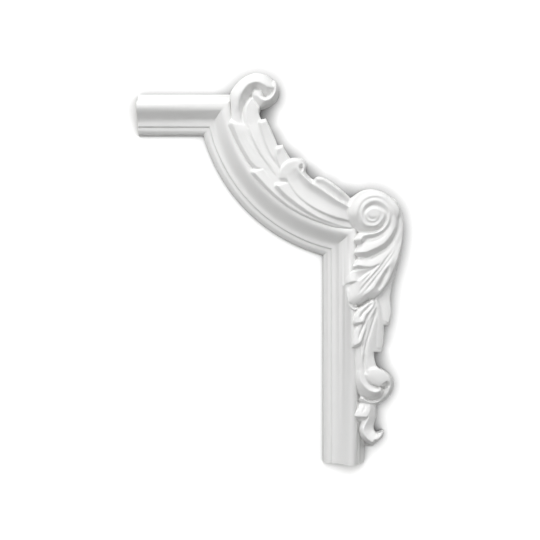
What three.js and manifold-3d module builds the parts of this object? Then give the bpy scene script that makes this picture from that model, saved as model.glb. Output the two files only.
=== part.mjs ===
// Carved corner of a panel moulding: a short arm, a quarter bend and a long leg,
// with acanthus leaves, a volute and scrolls laid over the outer side.
// Millimetres, +Z up. The flat back lies on Y = 0 and the carved face looks along -Y.
// The origin is on the back, at the middle of the bend and of the moulding's width.

import * as THREE from "three";
import * as BufferGeometryUtils from "three/addons/utils/BufferGeometryUtils.js";
import Module from "manifold-3d";

const wasm = await Module();
wasm.setup();

// Run of the moulding
const mouldingWidth = 40;
const armReach = 122.4;
const legDrop = 263.8;
const bendMidRadius = 149.2;
const midLineInset = 24.2;
const bendSteps = 16;

// Profile heights above the wall, from the inner edge to the outer edge
const mouldingHeight = 18;
const innerEdgeHeight = 3.2;
const innerFlatHeight = 6.7;
const beadHeight = 8.2;
const shoulderHeight = 11.8;
const treadHeight = 10.3;
const outerLipHeight = 7.4;

// Profile widths
const innerRoundWidth = 4.5;
const innerFlatWidth = 2.8;
const stepWidth = 0.9;
const beadWidth = 2.8;
const shoulderWidth = 6.5;
const treadWidth = 2.2;
const outerLipWidth = 3.6;
const coveSteps = 7;
const shoulderSteps = 4;

// Carving
const carvingHeight = 375;
const carvingRelief = 26;
const wallDrop = 9;
const steepRun = 0.15;
const stationSpacing = 7;
const acrossSteps = 4;

// The layout drawing is full size: x runs right and y runs down from its corner, in mm.
// Raised points are drawn where they appear from viewDistance in front of sightPoint.
const drawnHeight = 375;
const drawnRelief = 26;
const drawnBendCentre = [367.2, 92];
const sightPoint = [270, 270];
const viewDistance = 800;

const backing = 3;
const primedFoam = new THREE.MeshStandardMaterial({ color: 0xf1f1ef, roughness: 0.55, metalness: 0 });

const bendCentre = bendMidRadius * Math.SQRT1_2;
const innerRadius = bendMidRadius + mouldingWidth / 2;
const outlineInset = midLineInset + mouldingWidth / 2;

// Profile points: offset from the inner edge, height above the wall
function mouldingProfile() {
  const points = [[0, -backing], [0, innerEdgeHeight]];
  points.push([innerRoundWidth * 0.35, (innerEdgeHeight + innerFlatHeight) / 2]);
  points.push([innerRoundWidth, innerFlatHeight]);
  points.push([innerRoundWidth + innerFlatWidth, innerFlatHeight]);
  const beadStart = innerRoundWidth + innerFlatWidth + stepWidth;
  points.push([beadStart, beadHeight]);
  const coveStart = beadStart + beadWidth;
  const peak = mouldingWidth - outerLipWidth - stepWidth - treadWidth - shoulderWidth;
  for (let i = 0; i <= coveSteps; i += 1) {
    const share = i / coveSteps;
    const rise = (1 - Math.cos(Math.PI * share)) / 2;
    points.push([coveStart + (peak - coveStart) * share, beadHeight + (mouldingHeight - beadHeight) * rise]);
  }
  for (let i = 1; i <= shoulderSteps; i += 1) {
    const angle = (Math.PI / 2) * (i / shoulderSteps);
    const fall = (mouldingHeight - shoulderHeight) * (1 - Math.cos(angle));
    points.push([peak + shoulderWidth * Math.sin(angle), mouldingHeight - fall]);
  }
  points.push([peak + shoulderWidth, treadHeight]);
  points.push([peak + shoulderWidth + treadWidth, treadHeight]);
  points.push([mouldingWidth - outerLipWidth, outerLipHeight]);
  points.push([mouldingWidth, outerLipHeight], [mouldingWidth, -backing]);
  return points;
}

// One point of the profile on one station: the arm's end, the bend, or the leg's end
function mouldingPoint(offset, height, station, stationCount) {
  const radius = innerRadius - offset;
  const lineInset = outlineInset - offset;
  const mitreTurn = Math.asin(lineInset / radius);
  if (station === 0) {
    return [-armReach, -height, bendCentre - lineInset];
  }
  if (station === stationCount - 1) {
    return [bendCentre - lineInset, -height, -legDrop];
  }
  const share = (station - 1) / (stationCount - 3);
  const turn = mitreTurn + (Math.PI / 2 - 2 * mitreTurn) * share;
  return [bendCentre - radius * Math.cos(turn), -height, bendCentre - radius * Math.sin(turn)];
}

// A closed solid from rings of equal length, each capped from its own middle
function solidFromRings(rings) {
  const size = rings[0].length;
  const positions = rings.flat(2);
  const faces = [];
  for (let i = 0; i < rings.length - 1; i += 1) {
    for (let j = 0; j < size; j += 1) {
      const a = i * size + j;
      const b = i * size + ((j + 1) % size);
      faces.push(a, b, b + size, a, b + size, a + size);
    }
  }
  for (const [ring, start, flip] of [[rings[0], 0, true], [rings.at(-1), (rings.length - 1) * size, false]]) {
    const middle = positions.length / 3;
    const top = ring.reduce((sum, point) => sum.add(new THREE.Vector3(...point)), new THREE.Vector3());
    positions.push(...top.divideScalar(size).toArray());
    for (let j = 0; j < size; j += 1) {
      const a = start + j;
      const b = start + ((j + 1) % size);
      faces.push(...(flip ? [b, a, middle] : [a, b, middle]));
    }
  }
  return toManifold(positions, faces);
}

// Outward faces whatever way the rings were listed
function toManifold(positions, faces) {
  let volume = 0;
  const corner = [new THREE.Vector3(), new THREE.Vector3(), new THREE.Vector3()];
  for (let i = 0; i < faces.length; i += 3) {
    corner.forEach((point, k) => point.fromArray(positions, faces[i + k] * 3));
    volume += corner[0].dot(corner[1].clone().cross(corner[2]));
  }
  if (volume < 0) {
    faces.reverse();
  }
  return new wasm.Manifold(new wasm.Mesh({
    numProp: 3,
    vertProperties: new Float32Array(positions),
    triVerts: new Uint32Array(faces),
  }));
}

function fromGeometry(geometry) {
  geometry.deleteAttribute("normal");
  geometry.deleteAttribute("uv");
  const merged = BufferGeometryUtils.mergeVertices(geometry, 1e-4);
  return toManifold(Array.from(merged.attributes.position.array), Array.from(merged.index.array));
}

function mouldingSolid() {
  const profile = mouldingProfile();
  const stationCount = bendSteps + 3;
  const rings = [];
  for (let station = 0; station < stationCount; station += 1) {
    rings.push(profile.map(([offset, height]) => mouldingPoint(offset, height, station, stationCount)));
  }
  return solidFromRings(rings);
}

// From the layout drawing to the part, with the sight line taken out for a raised point
function place(x, y, height) {
  const size = carvingHeight / drawnHeight;
  const draw = 1 - height / viewDistance;
  const flatX = sightPoint[0] + (x - sightPoint[0]) * draw;
  const flatY = sightPoint[1] + (y - sightPoint[1]) * draw;
  return new THREE.Vector3(
    bendCentre + (flatX - drawnBendCentre[0]) * size,
    -height * (carvingRelief / drawnRelief),
    bendCentre - (flatY - drawnBendCentre[1]) * size,
  );
}

function curveThrough(points, count) {
  const corners = points.map(([x, y]) => new THREE.Vector3(x, y, 0));
  return new THREE.CatmullRomCurve3(corners, false, "centripetal").getSpacedPoints(count - 1);
}

function pathLength(points) {
  let length = 0;
  for (let i = 1; i < points.length; i += 1) {
    length += Math.hypot(points[i][0] - points[i - 1][0], points[i][1] - points[i - 1][1]);
  }
  return length;
}

// Heights of edge a, middle and edge b, blended along the strip
function heightsAt(list, share) {
  const at = share * (list.length - 1);
  const index = Math.min(Math.floor(at), list.length - 2);
  return list[index].map((height, k) => THREE.MathUtils.lerp(height, list[index + 1][k], at - index));
}

// Round crest or hollow between the edges, or a plain bow where the middle is no extreme
function heightAcross([edgeA, middle, edgeB], across, crest) {
  if ((middle - edgeA) * (middle - edgeB) > 0) {
    const nearA = across <= crest;
    const share = nearA ? across / crest : (1 - across) / (1 - crest);
    const edge = nearA ? edgeA : edgeB;
    return edge + (middle - edge) * Math.sin((Math.PI / 2) * share);
  }
  const fromA = (edgeA * (across - crest) * (across - 1)) / crest;
  const fromMiddle = (middle * across * (across - 1)) / (crest * (crest - 1));
  const fromB = (edgeB * across * (across - crest)) / (1 - crest);
  return fromA + fromMiddle + fromB;
}

// Side of a strip: slopes out by run for each mm down to the drop, then goes steeply to the back
function sidePoints(edge, outward, run) {
  const kneeDrop = Math.min(wallDrop, -edge.y);
  const knee = edge.clone().addScaledVector(outward, run * kneeDrop);
  knee.y += kneeDrop;
  const foot = knee.clone();
  foot.y = backing;
  return [knee, foot];
}

// A leaf, band or rim between two drawn edges, standing on the wall plane
function stripSolid({ a, b, heights, runs = [0.5, steepRun, 0.5, 0.5], crest = 0.5 }) {
  const count = Math.max(5, Math.round(Math.max(pathLength(a), pathLength(b)) / stationSpacing) + 1);
  const edgeA = curveThrough(a, count);
  const edgeB = curveThrough(b, count);
  const sections = [];
  for (let i = 0; i < count; i += 1) {
    const trio = heightsAt(heights, i / (count - 1));
    const sideA = place(edgeA[i].x, edgeA[i].y, trio[0]);
    const sideB = place(edgeB[i].x, edgeB[i].y, trio[2]);
    const tops = [];
    for (let j = 0; j <= acrossSteps; j += 1) {
      const point = sideA.clone().lerp(sideB, j / acrossSteps);
      point.y = -heightAcross(trio, j / acrossSteps, crest) * (carvingRelief / drawnRelief);
      tops.push(point);
    }
    sections.push(tops);
  }
  const flat = (vector) => vector.setY(0).normalize();
  const rings = sections.map((tops) => {
    const outward = flat(tops[0].clone().sub(tops.at(-1)));
    const sideA = sidePoints(tops[0], outward, runs[0]);
    const sideB = sidePoints(tops.at(-1), outward.clone().negate(), runs[1]);
    return [sideA[1], sideA[0], ...tops, ...sideB];
  });
  const middle = acrossSteps / 2;
  const endRing = (ring, end, next, run) => {
    const outward = flat(sections[end][middle].clone().sub(sections[next][middle]));
    return ring.map((point) => {
      const lowered = point.clone().addScaledVector(outward, run * wallDrop);
      lowered.y = Math.min(point.y + wallDrop, backing);
      return lowered;
    });
  };
  const last = count - 1;
  rings.unshift(endRing(rings[0], 0, 1, runs[2]));
  rings.push(endRing(rings.at(-1), last, last - 1, runs[3]));
  return solidFromRings(rings.map((ring) => ring.map((point) => point.toArray())));
}

// Upper scroll and the leaves of the bend
const bendStrips = {
  scrollFloor: {
    a: [[241, 118], [242, 100], [246, 89], [256, 84], [268, 85], [275, 91]],
    b: [[260, 118], [261, 108.5], [268, 106], [274, 101], [277, 96], [277.5, 92]],
    heights: [[15, 15, 15], [14.5, 14.5, 14]],
    runs: [0.15, 0.15, 0.3, 0.15],
  },
  scrollBand: {
    a: [[235.5, 122], [233.3, 112], [231.5, 102], [230.4, 95], [233.5, 87.5], [240, 79.9],
      [249, 74.3], [257, 72.8], [265, 74.6], [272, 79.6], [276.8, 86], [278.5, 92]],
    b: [[241.5, 122], [240.3, 112], [240.3, 102], [241.3, 95], [244.5, 89.3], [249, 84.6],
      [254, 82.4], [259, 82.6], [263, 84.6], [266.3, 87.8], [270, 88.5], [272.5, 91]],
    heights: [[16.5, 18.5, 18], [15, 22.5, 20.5], [13, 24, 22], [14, 23.5, 22.5]],
    runs: [0.15, 0.5, 0.5, 0.3],
  },
  scrollCurl: {
    a: [[277.8, 86], [276.8, 93], [273, 98], [267.5, 100.6], [262, 99.6], [257, 98.2], [251, 99.5]],
    b: [[271.5, 85], [272.6, 90], [270.7, 93.9], [266.5, 95.8], [262, 94], [257, 89.8], [251, 92.5]],
    heights: [[22, 23.5, 22.5], [22.5, 24, 22.5], [22, 23, 21.5], [20, 20.5, 20], [18.5, 19, 18.5]],
    runs: [0.16, 0.05, 0.3, 0.5],
  },
  neck: {
    a: [[240.5, 98], [240.3, 108], [240.8, 118], [243, 128]],
    b: [[262, 105], [259.8, 110], [259.3, 115], [261, 124]],
    heights: [[15.5, 16.5, 17], [17.5, 18, 17], [18.5, 18.5, 17.5]],
    runs: [0.5, 0.15, 0.8, 0.5],
  },
  leafFirst: {
    a: [[232.5, 123.2], [235.5, 131], [239.5, 141], [244.8, 152], [250.5, 161.5], [256, 167.5], [262.5, 170]],
    b: [[242, 123.5], [246, 132], [251, 143], [257, 154], [264, 164], [268, 168], [272, 172]],
    heights: [[21.5, 20.5, 19.5], [21.5, 20.3, 19.3], [20.5, 19.5, 19], [18.5, 18.5, 18.5]],
    runs: [0.75, 0.3, 0.75, 0.5],
  },
  leafSecond: {
    a: [[252.3, 97.5], [248.3, 105], [246.8, 113], [248, 121], [252, 135.5], [259.3, 152], [268, 165],
      [278.5, 178.5]],
    b: [[257, 100], [259, 106], [259, 113], [259.5, 122], [264, 143], [271.5, 158], [279, 169], [286, 179]],
    heights: [[20, 19.5, 19], [20, 19, 18], [21, 20, 19.3], [21, 20, 19.3], [19.7, 19.2, 18.8]],
    runs: [0.6, 0.15, 0.5, 0.5],
  },
  leafThird: {
    a: [[259.8, 122], [261, 131], [264, 143.5], [271, 158], [279, 170], [286, 179]],
    b: [[265.8, 121], [270, 129.7], [274, 138.7], [277.6, 147.2], [283, 158], [291, 168]],
    heights: [[22, 21.5, 21], [22, 21, 20.5], [21, 20.3, 20]],
    runs: [0.6, 0.15, 0.6, 0.5],
  },
  leafFourth: {
    a: [[277.2, 148.3], [276.5, 155], [279, 164], [284, 173], [291, 181]],
    b: [[282.7, 147.3], [285.3, 153], [290, 160], [296, 166], [300, 172]],
    heights: [[22.5, 22, 22], [22, 21.5, 21.5], [20.5, 20.5, 20.5]],
    runs: [0.6, 0.15, 0.6, 0.5],
  },
  leafWeb: {
    a: [[258, 164], [266, 174], [274, 183], [284, 192]],
    b: [[279, 166], [285, 174], [292, 182], [300, 192]],
    heights: [[18.8, 19, 19.5], [19.5, 19.8, 20], [19.5, 20, 20]],
    runs: [0.5, 0.3, 0.5, 0.5],
  },
  leafLow: {
    a: [[253.5, 172], [260, 178.7], [270, 189.3], [280, 198.3], [290, 206], [300, 212], [310, 217],
      [320, 221], [332, 225.3], [345, 228.6], [357, 230]],
    b: [[263, 169], [270, 177.5], [278, 186], [285, 193.5], [293, 200.5], [305, 209.5], [318, 217.5],
      [330, 222.5], [343, 226.8], [350, 228], [357, 229.3]],
    heights: [[21.5, 20.5, 20], [20.7, 19.7, 19], [20, 19, 18.5], [19, 18.8, 18.5]],
    runs: [0.85, 0.3, 0.8, 0.5],
  },
  leafMiddle: {
    a: [[277.5, 185.5], [284, 192.5], [293, 200], [305, 209], [318, 217], [330, 222], [343, 226.3], [356, 229.3]],
    b: [[288.3, 183], [295, 190], [304, 199], [314, 206], [325, 211.5], [337, 216], [352, 221]],
    heights: [[23.5, 22.5, 21.5], [23, 21.5, 20.3], [21, 20.3, 19.5], [19.5, 19.5, 19]],
    runs: [0.9, 0.3, 0.8, 0.5],
  },
  leafBroad: {
    a: [[285, 171], [284.5, 179], [290, 188], [300, 197.7], [310, 205], [320, 210.6], [330, 214.8],
      [340, 218.4], [351, 221]],
    b: [[299, 166], [304.5, 172.5], [308.7, 178], [312.8, 181.3], [318, 187], [330, 196.3], [340, 203], [350, 210]],
    heights: [[22, 22, 22.5], [22.3, 20.7, 24.5], [22.3, 20.5, 25], [22, 20.8, 24.5], [21.5, 21, 23]],
    runs: [0.6, 0.15, 0.8, 0.5],
    crest: 0.55,
  },
  leafUpper: {
    a: [[315, 182.5], [318.5, 187], [327, 193.5], [336, 199.5], [348, 207.8]],
    b: [[317.5, 178], [322, 178.8], [328, 182], [335, 187], [342, 192.5], [350, 199.5]],
    heights: [[24.5, 24, 23.5], [24.3, 22, 23.5], [24, 22, 23.5], [23, 22.5, 23]],
    runs: [0.5, 0.15, 0.5, 0.5],
  },
  leafCurl: {
    a: [[281, 170], [283, 164.5], [289.5, 160.3], [297, 159], [303, 161.2], [306.3, 165.5], [305.5, 172]],
    b: [[286, 172], [287, 168.5], [291, 165.5], [296, 164.5], [300, 165.5], [302, 168], [302, 172]],
    heights: [[20, 21, 21.5], [18, 22, 23.5], [17, 22, 24.5], [17, 22, 24], [18, 20, 21]],
    runs: [0.15, 0.1, 0.8, 0.15],
  },
};

// Leaves that peel off the volute and hang over the leg
const legStrips = {
  tipOne: {
    a: [[392.5, 206], [391.8, 214], [389.3, 222], [384.8, 229.3], [378, 232.4], [370, 233.2], [363, 233.5],
      [358, 235.8], [354, 239.6]],
    b: [[395, 206], [394.3, 215], [391.5, 224], [387, 231], [380, 235], [371, 235.5], [366, 236],
      [362.5, 240], [357, 240.8], [354.2, 240.3]],
    heights: [[22, 23.5, 23], [21.5, 23.5, 23], [20.5, 23, 23], [20.5, 22.7, 23], [20, 22.5, 22.5], [17.8, 18, 18]],
    runs: [0.15, 0.85, 0.5, 0.5],
  },
  tipTwo: {
    a: [[398, 206], [397, 214], [395, 222], [391.5, 230], [386, 236.5], [379, 240.6], [369, 242.6],
      [364.5, 246], [359.5, 248.3], [354.3, 251.6]],
    b: [[401, 212], [399.5, 219], [398, 225], [394, 233.5], [388.5, 240], [380, 245.5], [371, 249],
      [363, 251.3], [358, 252], [354.3, 252.2]],
    heights: [[21, 21.5, 21], [20.5, 22, 22.5], [20, 22, 23.2], [20, 22, 23.5], [20, 22, 23], [17.8, 18.3, 18.3]],
    runs: [0.15, 1.1, 0.5, 0.5],
  },
  tipThree: {
    a: [[401, 219], [398.5, 231], [394.5, 240], [388, 248.5], [380, 254.5], [370, 258.8], [362, 259.3],
      [357, 261.5], [351.3, 266.6]],
    b: [[402, 222], [400.5, 236], [396.5, 247], [390, 256], [383, 262], [375, 265], [366, 266.3],
      [358, 265.4], [351.2, 267.4]],
    heights: [[17.5, 18, 17], [17.7, 19.2, 19.8], [18, 20.2, 21.2], [18.5, 20.5, 21.7], [18.5, 20, 21.3],
      [17.6, 17.9, 17.9]],
    runs: [0.15, 0.85, 0.5, 0.5],
  },
  tipFour: {
    a: [[402, 230], [399, 243], [394, 254], [387, 262.5], [379, 267.2], [369, 269], [358.5, 270.3],
      [351, 274], [346.3, 282.6]],
    b: [[402.3, 232], [400, 248], [394, 262], [386, 272], [377, 278.5], [368, 281.5], [360, 281.6],
      [352.5, 281.2], [346.2, 283.2]],
    heights: [[15, 16, 15], [16, 17.5, 17], [17.5, 19, 19.3], [18, 20, 20.5], [18.2, 20.3, 21.2], [17.6, 18, 18]],
    runs: [0.15, 0.95, 0.5, 0.5],
  },
  tipFive: {
    a: [[402.3, 234], [398, 256], [391, 268], [381, 278], [370, 282.5], [358, 284], [350, 288], [345.8, 295]],
    b: [[401.5, 240], [396.5, 262], [388.5, 281], [381, 293], [371.5, 300], [361.5, 306.3], [353, 311],
      [346.3, 303]],
    heights: [[14.5, 15.5, 14], [16.5, 18, 16.5], [17.5, 19.5, 18.5], [18, 20.5, 19.5], [18, 21, 20],
      [17.5, 19.5, 18]],
    runs: [0.15, 0.5, 0.5, 0.4],
  },
  outerFlap: {
    a: [[396, 262], [391, 274], [386, 285], [380.5, 294], [376.5, 300], [379, 310], [382.3, 319.5]],
    b: [[399.3, 256], [395.5, 270], [391.5, 283], [389.3, 295], [389.8, 305], [390.3, 313], [387.5, 322.5]],
    heights: [[15, 14.5, 13], [15, 14.5, 13], [14.5, 14.5, 13.5], [14.5, 15, 14]],
    runs: [0.5, 0.15, 0.5, 0.3],
  },
  lowerFlap: {
    a: [[376, 298], [376.5, 315], [375.5, 330], [373.5, 346.5]],
    b: [[382.5, 312], [383.3, 325], [383.3, 335], [382.3, 344], [380.8, 349]],
    heights: [[16.5, 16, 14], [17, 16.5, 14.5], [17, 16.5, 15], [16, 16, 15]],
    runs: [0.5, 0.15, 0.5, 0.3],
  },
  dropTipOne: {
    a: [[373, 299], [366, 302], [360, 308], [356, 316], [353, 323.6]],
    b: [[375, 302], [370, 306.5], [365.5, 313], [363, 319.5], [358, 323.5], [353, 324.2]],
    heights: [[19, 19.5, 19], [19.5, 20.7, 20], [18.8, 20.3, 20.5], [17, 17.3, 17.3]],
    runs: [0.6, 0.8, 0.5, 0.5],
  },
  dropTipTwo: {
    a: [[374, 300], [367, 314], [362, 323.5], [357.5, 330], [352.8, 342], [351.2, 347.2]],
    b: [[377, 304], [371, 318], [366.5, 331], [362, 342.5], [355.5, 346.8], [351.2, 347.8]],
    heights: [[18.5, 19, 18.5], [19, 20.3, 19.5], [18.5, 20, 20], [17, 17.3, 17.3]],
    runs: [0.7, 0.8, 0.5, 0.5],
  },
  dropStem: {
    a: [[375, 302], [368, 320], [364, 335], [360, 350], [359, 362], [359.2, 372]],
    b: [[380, 303], [378, 320], [376, 335], [373.8, 349], [373, 356], [375, 363.5], [379, 368.5]],
    heights: [[18, 18, 16.5], [19, 18.5, 17], [18.5, 18.5, 17], [18, 18.5, 16.5], [18, 18.5, 17]],
    runs: [0.8, 0.15, 0.5, 0.5],
  },
  lowerFloor: {
    a: [[360, 364], [360.5, 385], [361, 404]],
    b: [[376, 366], [384, 385], [375, 404.5]],
    heights: [[14, 14, 12], [13, 13, 11], [9, 9, 8]],
    runs: [0.15, 0.15, 0.15, 0.15],
  },
  lowerBall: {
    a: [[366, 375], [371, 370], [380, 368.8], [388, 373.5], [391, 379.5]],
    b: [[368, 378.5], [372.5, 384.5], [379, 387.5], [384, 383.5], [388, 381]],
    heights: [[18, 20, 18], [15, 23.5, 17], [14, 24, 17], [15, 23, 17], [17, 19, 18]],
    runs: [0.15, 0.3, 0.4, 0.4],
  },
  lowerRim: {
    a: [[359.3, 366], [360.5, 377], [364, 385.3], [369.5, 390], [376, 392], [382, 391], [386, 388]],
    b: [[366, 366], [366.7, 376], [370.5, 383], [376, 387], [381, 387.8], [384, 386], [385, 383]],
    heights: [[18, 18, 17.5], [20, 18.7, 17], [21, 19, 17], [21.5, 20, 18], [21, 20, 19], [20, 19, 18.5]],
    runs: [0.8, 0.05, 0.5, 0.3],
  },
  lowerCheek: {
    a: [[386, 371.5], [391, 377], [393, 384], [391.2, 391.5], [387, 397.3], [381.5, 402.3], [377, 404.8]],
    b: [[384, 376], [388.3, 379.5], [389.8, 384], [387.8, 390], [383.5, 395], [378, 398.5], [372, 400]],
    heights: [[17, 19, 19], [13, 18.5, 19], [12, 17.5, 19], [11, 16, 17], [9, 11, 12]],
    runs: [0.15, 0.3, 0.5, 0.3],
  },
  footTip: {
    a: [[361, 402], [359, 409], [355.5, 412.7], [352.7, 415]],
    b: [[372, 402], [371, 411], [368, 416.2], [363.5, 417], [358, 416], [352.9, 415.8]],
    heights: [[16, 15, 13], [18, 17.5, 16], [19, 19.5, 19], [16, 16.5, 16.5]],
    runs: [0.6, 1.0, 0.5, 0.5],
  },
  footCurl: {
    a: [[370, 403], [369, 415], [365.5, 423], [363.3, 430], [365, 436], [370, 440.8], [375, 440.3],
      [381, 437.5], [383.4, 431.5]],
    b: [[376.2, 403], [376.2, 412], [375.3, 419.5], [373.2, 426.5], [373.7, 430.3], [376, 432.6],
      [378.5, 432.7], [381, 431.7], [383.2, 430.6]],
    heights: [[13, 13, 11], [13, 13, 11], [13, 13, 11], [15, 14.5, 12], [18, 16, 13], [19, 17, 14],
      [18, 16, 14], [15, 15, 14]],
    runs: [0.55, 0.1, 0.5, 0.3],
  },
};

// Outline of the whole carving on the wall, clockwise from the arm's outer edge
const carvingOutline = [
  [[229.5, 96], [233, 87.5], [240, 79.9], [249, 74.3], [257, 72.8], [265, 74.6], [273, 80.5], [278, 88],
    [278.6, 94], [275.5, 101], [269, 105.8], [260.5, 108.9]],
  [[260.5, 108.9], [259.2, 113], [260, 118.5], [261.3, 121.3]],
  [[261.3, 121.3], [265.7, 120.7]],
  [[265.7, 120.7], [270, 129.5], [274, 138.5], [277.4, 147.2]],
  [[277.4, 147.2], [282.3, 146.5]],
  [[282.3, 146.5], [285, 152.5], [289.8, 160]],
  [[289.8, 160], [295, 159.2], [301, 160], [306, 164.5], [305.3, 173], [309, 178], [312.8, 181]],
  [[312.8, 181], [316, 178.6], [322, 179], [330, 183.5], [340, 190.8], [349.5, 199]],
  [[349.5, 199], [360, 192], [372, 188.6], [385, 192], [395, 201.5], [401.5, 218], [401.8, 240],
    [395.5, 270], [389.6, 295], [390.3, 313], [387.8, 325]],
  [[387.8, 325], [383, 325]],
  [[383, 325], [383.3, 335], [382.6, 345], [380.5, 352]],
  [[380.5, 352], [373, 351.3]],
  [[373, 351.3], [373.3, 358], [376, 365.5], [382, 369.3], [389, 374], [393.2, 383], [391.2, 391.8],
    [386, 398.5], [376.3, 405]],
  [[376.3, 405], [376, 415], [373.2, 427], [376.5, 432.8], [383.3, 430.5]],
  [[383.3, 430.5], [382, 438.5], [377, 444.3], [373, 448]],
  [[373, 448], [362, 446.5], [352, 440], [352, 420], [350, 402], [345, 350], [340, 300], [340, 250],
    [300, 235], [240, 190], [222, 130], [229.5, 96]],
];
const outlineHeight = 6;
const outlineSpacing = 5;

function outlineSolid() {
  const shape = new THREE.Shape();
  for (const run of carvingOutline) {
    const count = Math.max(2, Math.round(pathLength(run) / outlineSpacing) + 1);
    for (const point of curveThrough(run, count).slice(0, -1)) {
      const spot = place(point.x, point.y, outlineHeight);
      if (shape.curves.length === 0 && shape.currentPoint.lengthSq() === 0) {
        shape.moveTo(spot.x, spot.z);
      } else {
        shape.lineTo(spot.x, spot.z);
      }
    }
  }
  const depth = carvingRelief * 2;
  const prism = new THREE.ExtrudeGeometry(shape, { depth, bevelEnabled: false, steps: 1 });
  prism.rotateX(Math.PI / 2);
  prism.translate(0, backing, 0);
  return fromGeometry(prism);
}

// Volute: a pillow with a coil of two turns on it
const voluteCentre = [374, 213.5];
const voluteReach = [19.3, 23.5, 25.6, 26.2, 25, 25.5, 27, 24];
const voluteEdgeHeight = [18, 18.5, 18.5, 16, 13, 13.5, 14, 16];
const pillowHeight = 22.3;
const pillowShoulder = 0.72;
const coilHeight = 24.6;
const coilTurns = [8.2, 7.3, 6.8, 10.5, 13.2, 12.6, 13.8, 17];
const coilStepsPerQuarter = 5;
const eyeRadius = 4.8;
const voluteSides = 32;

function roundList(list, turn) {
  const at = (((turn % 1) + 1) % 1) * list.length;
  const index = Math.floor(at);
  return THREE.MathUtils.lerp(list[index], list[(index + 1) % list.length], at - index);
}

// Turn 0 points down, and the turns go down, left, up, right as seen from the front
function voluteSpot(turn, radius, height) {
  const angle = turn * Math.PI * 2;
  const draw = 1 - height / viewDistance;
  const centre = place(voluteCentre[0], voluteCentre[1], coilHeight);
  const reach = (radius * draw * carvingHeight) / drawnHeight;
  return [centre.x - Math.sin(angle) * reach, -height * (carvingRelief / drawnRelief),
    centre.z - Math.cos(angle) * reach];
}

function pillowSolid() {
  const rings = [];
  const shares = [0.4, pillowShoulder, 0.86, 0.95, 1];
  for (const share of shares) {
    const ring = [];
    for (let side = 0; side < voluteSides; side += 1) {
      const turn = side / voluteSides;
      const edge = roundList(voluteEdgeHeight, turn);
      const past = Math.max(0, (share - pillowShoulder) / (1 - pillowShoulder));
      const height = edge + (pillowHeight - edge) * Math.sqrt(1 - past * past);
      ring.push(voluteSpot(turn, roundList(voluteReach, turn) * share, height));
    }
    rings.push(ring);
  }
  rings.push(rings.at(-1).map(([x, , z]) => [x, backing, z]));
  return solidFromRings(rings);
}

function coilSolid() {
  const rings = [];
  const quarters = coilTurns.length - 1;
  for (let i = 0; i <= quarters * coilStepsPerQuarter; i += 1) {
    const quarter = i / coilStepsPerQuarter;
    const index = Math.min(Math.floor(quarter), quarters - 1);
    const radius = THREE.MathUtils.lerp(coilTurns[index], coilTurns[index + 1], quarter - index);
    const turn = quarter / 4;
    const inner = 2 + quarter * 0.2;
    const base = pillowHeight - 3;
    rings.push([
      voluteSpot(turn, radius + 1.4, base),
      voluteSpot(turn, radius + 1.4, pillowHeight),
      voluteSpot(turn, radius + 0.7, coilHeight - 0.5),
      voluteSpot(turn, radius, coilHeight),
      voluteSpot(turn, radius - inner / 2, coilHeight - 0.7),
      voluteSpot(turn, radius - inner, pillowHeight),
      voluteSpot(turn, radius - inner, base),
    ]);
  }
  return solidFromRings(rings);
}

function eyeSolid() {
  const ringAt = (radius, height) => {
    const ring = [];
    for (let side = 0; side < voluteSides / 2; side += 1) {
      ring.push(voluteSpot(side / (voluteSides / 2), radius, height));
    }
    return ring;
  };
  return solidFromRings([
    ringAt(eyeRadius - 1, coilHeight - 0.2),
    ringAt(eyeRadius, coilHeight - 1),
    ringAt(eyeRadius, pillowHeight - 3),
  ]);
}

// Everything behind the wall plane, cut away to leave the back flat
function behindWall() {
  const reach = 2 * (armReach + legDrop + carvingHeight);
  const box = new THREE.BoxGeometry(reach, 2 * backing, reach);
  box.translate(0, backing, 0);
  return fromGeometry(box);
}

function cornerGeometry() {
  let carving = pillowSolid().add(coilSolid()).add(eyeSolid());
  for (const strip of Object.values({ ...bendStrips, ...legStrips })) {
    carving = carving.add(stripSolid(strip));
  }
  const whole = carving.intersect(outlineSolid()).add(mouldingSolid()).subtract(behindWall());
  const mesh = whole.getMesh();
  const geometry = new THREE.BufferGeometry();
  geometry.setAttribute("position", new THREE.BufferAttribute(new Float32Array(mesh.vertProperties), 3));
  geometry.setIndex(new THREE.BufferAttribute(new Uint32Array(mesh.triVerts), 1));
  geometry.computeVertexNormals();
  return geometry;
}

const corner = new THREE.Mesh(cornerGeometry(), primedFoam);
corner.name = "moulding_corner";

const model = new THREE.Group();
model.add(corner);

export default model;
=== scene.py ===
import math
import bmesh
import bpy
import numpy as np
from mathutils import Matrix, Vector


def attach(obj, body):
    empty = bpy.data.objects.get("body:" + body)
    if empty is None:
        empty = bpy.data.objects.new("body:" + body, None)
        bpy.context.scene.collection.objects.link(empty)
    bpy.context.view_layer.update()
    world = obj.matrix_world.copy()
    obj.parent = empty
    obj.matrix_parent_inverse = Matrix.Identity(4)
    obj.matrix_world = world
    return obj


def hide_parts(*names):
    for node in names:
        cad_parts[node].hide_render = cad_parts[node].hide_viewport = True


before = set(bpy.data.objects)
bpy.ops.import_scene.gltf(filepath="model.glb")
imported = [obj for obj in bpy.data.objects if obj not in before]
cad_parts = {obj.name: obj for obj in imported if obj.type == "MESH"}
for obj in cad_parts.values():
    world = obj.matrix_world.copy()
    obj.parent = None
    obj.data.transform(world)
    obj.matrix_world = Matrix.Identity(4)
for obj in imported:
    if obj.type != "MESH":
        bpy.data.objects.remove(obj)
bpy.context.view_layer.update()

print("stage: frame loaded")


# Camera, square on to the wall, lengths in metres but lens and sensor in mm
cameraSetup = {
    "x": 0.0083,
    "distance": 0.8,
    "z": -0.0725,
    "lens": 53.3333,
    "sensor": 36.0,
    "nearest": 0.01,
}


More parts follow.
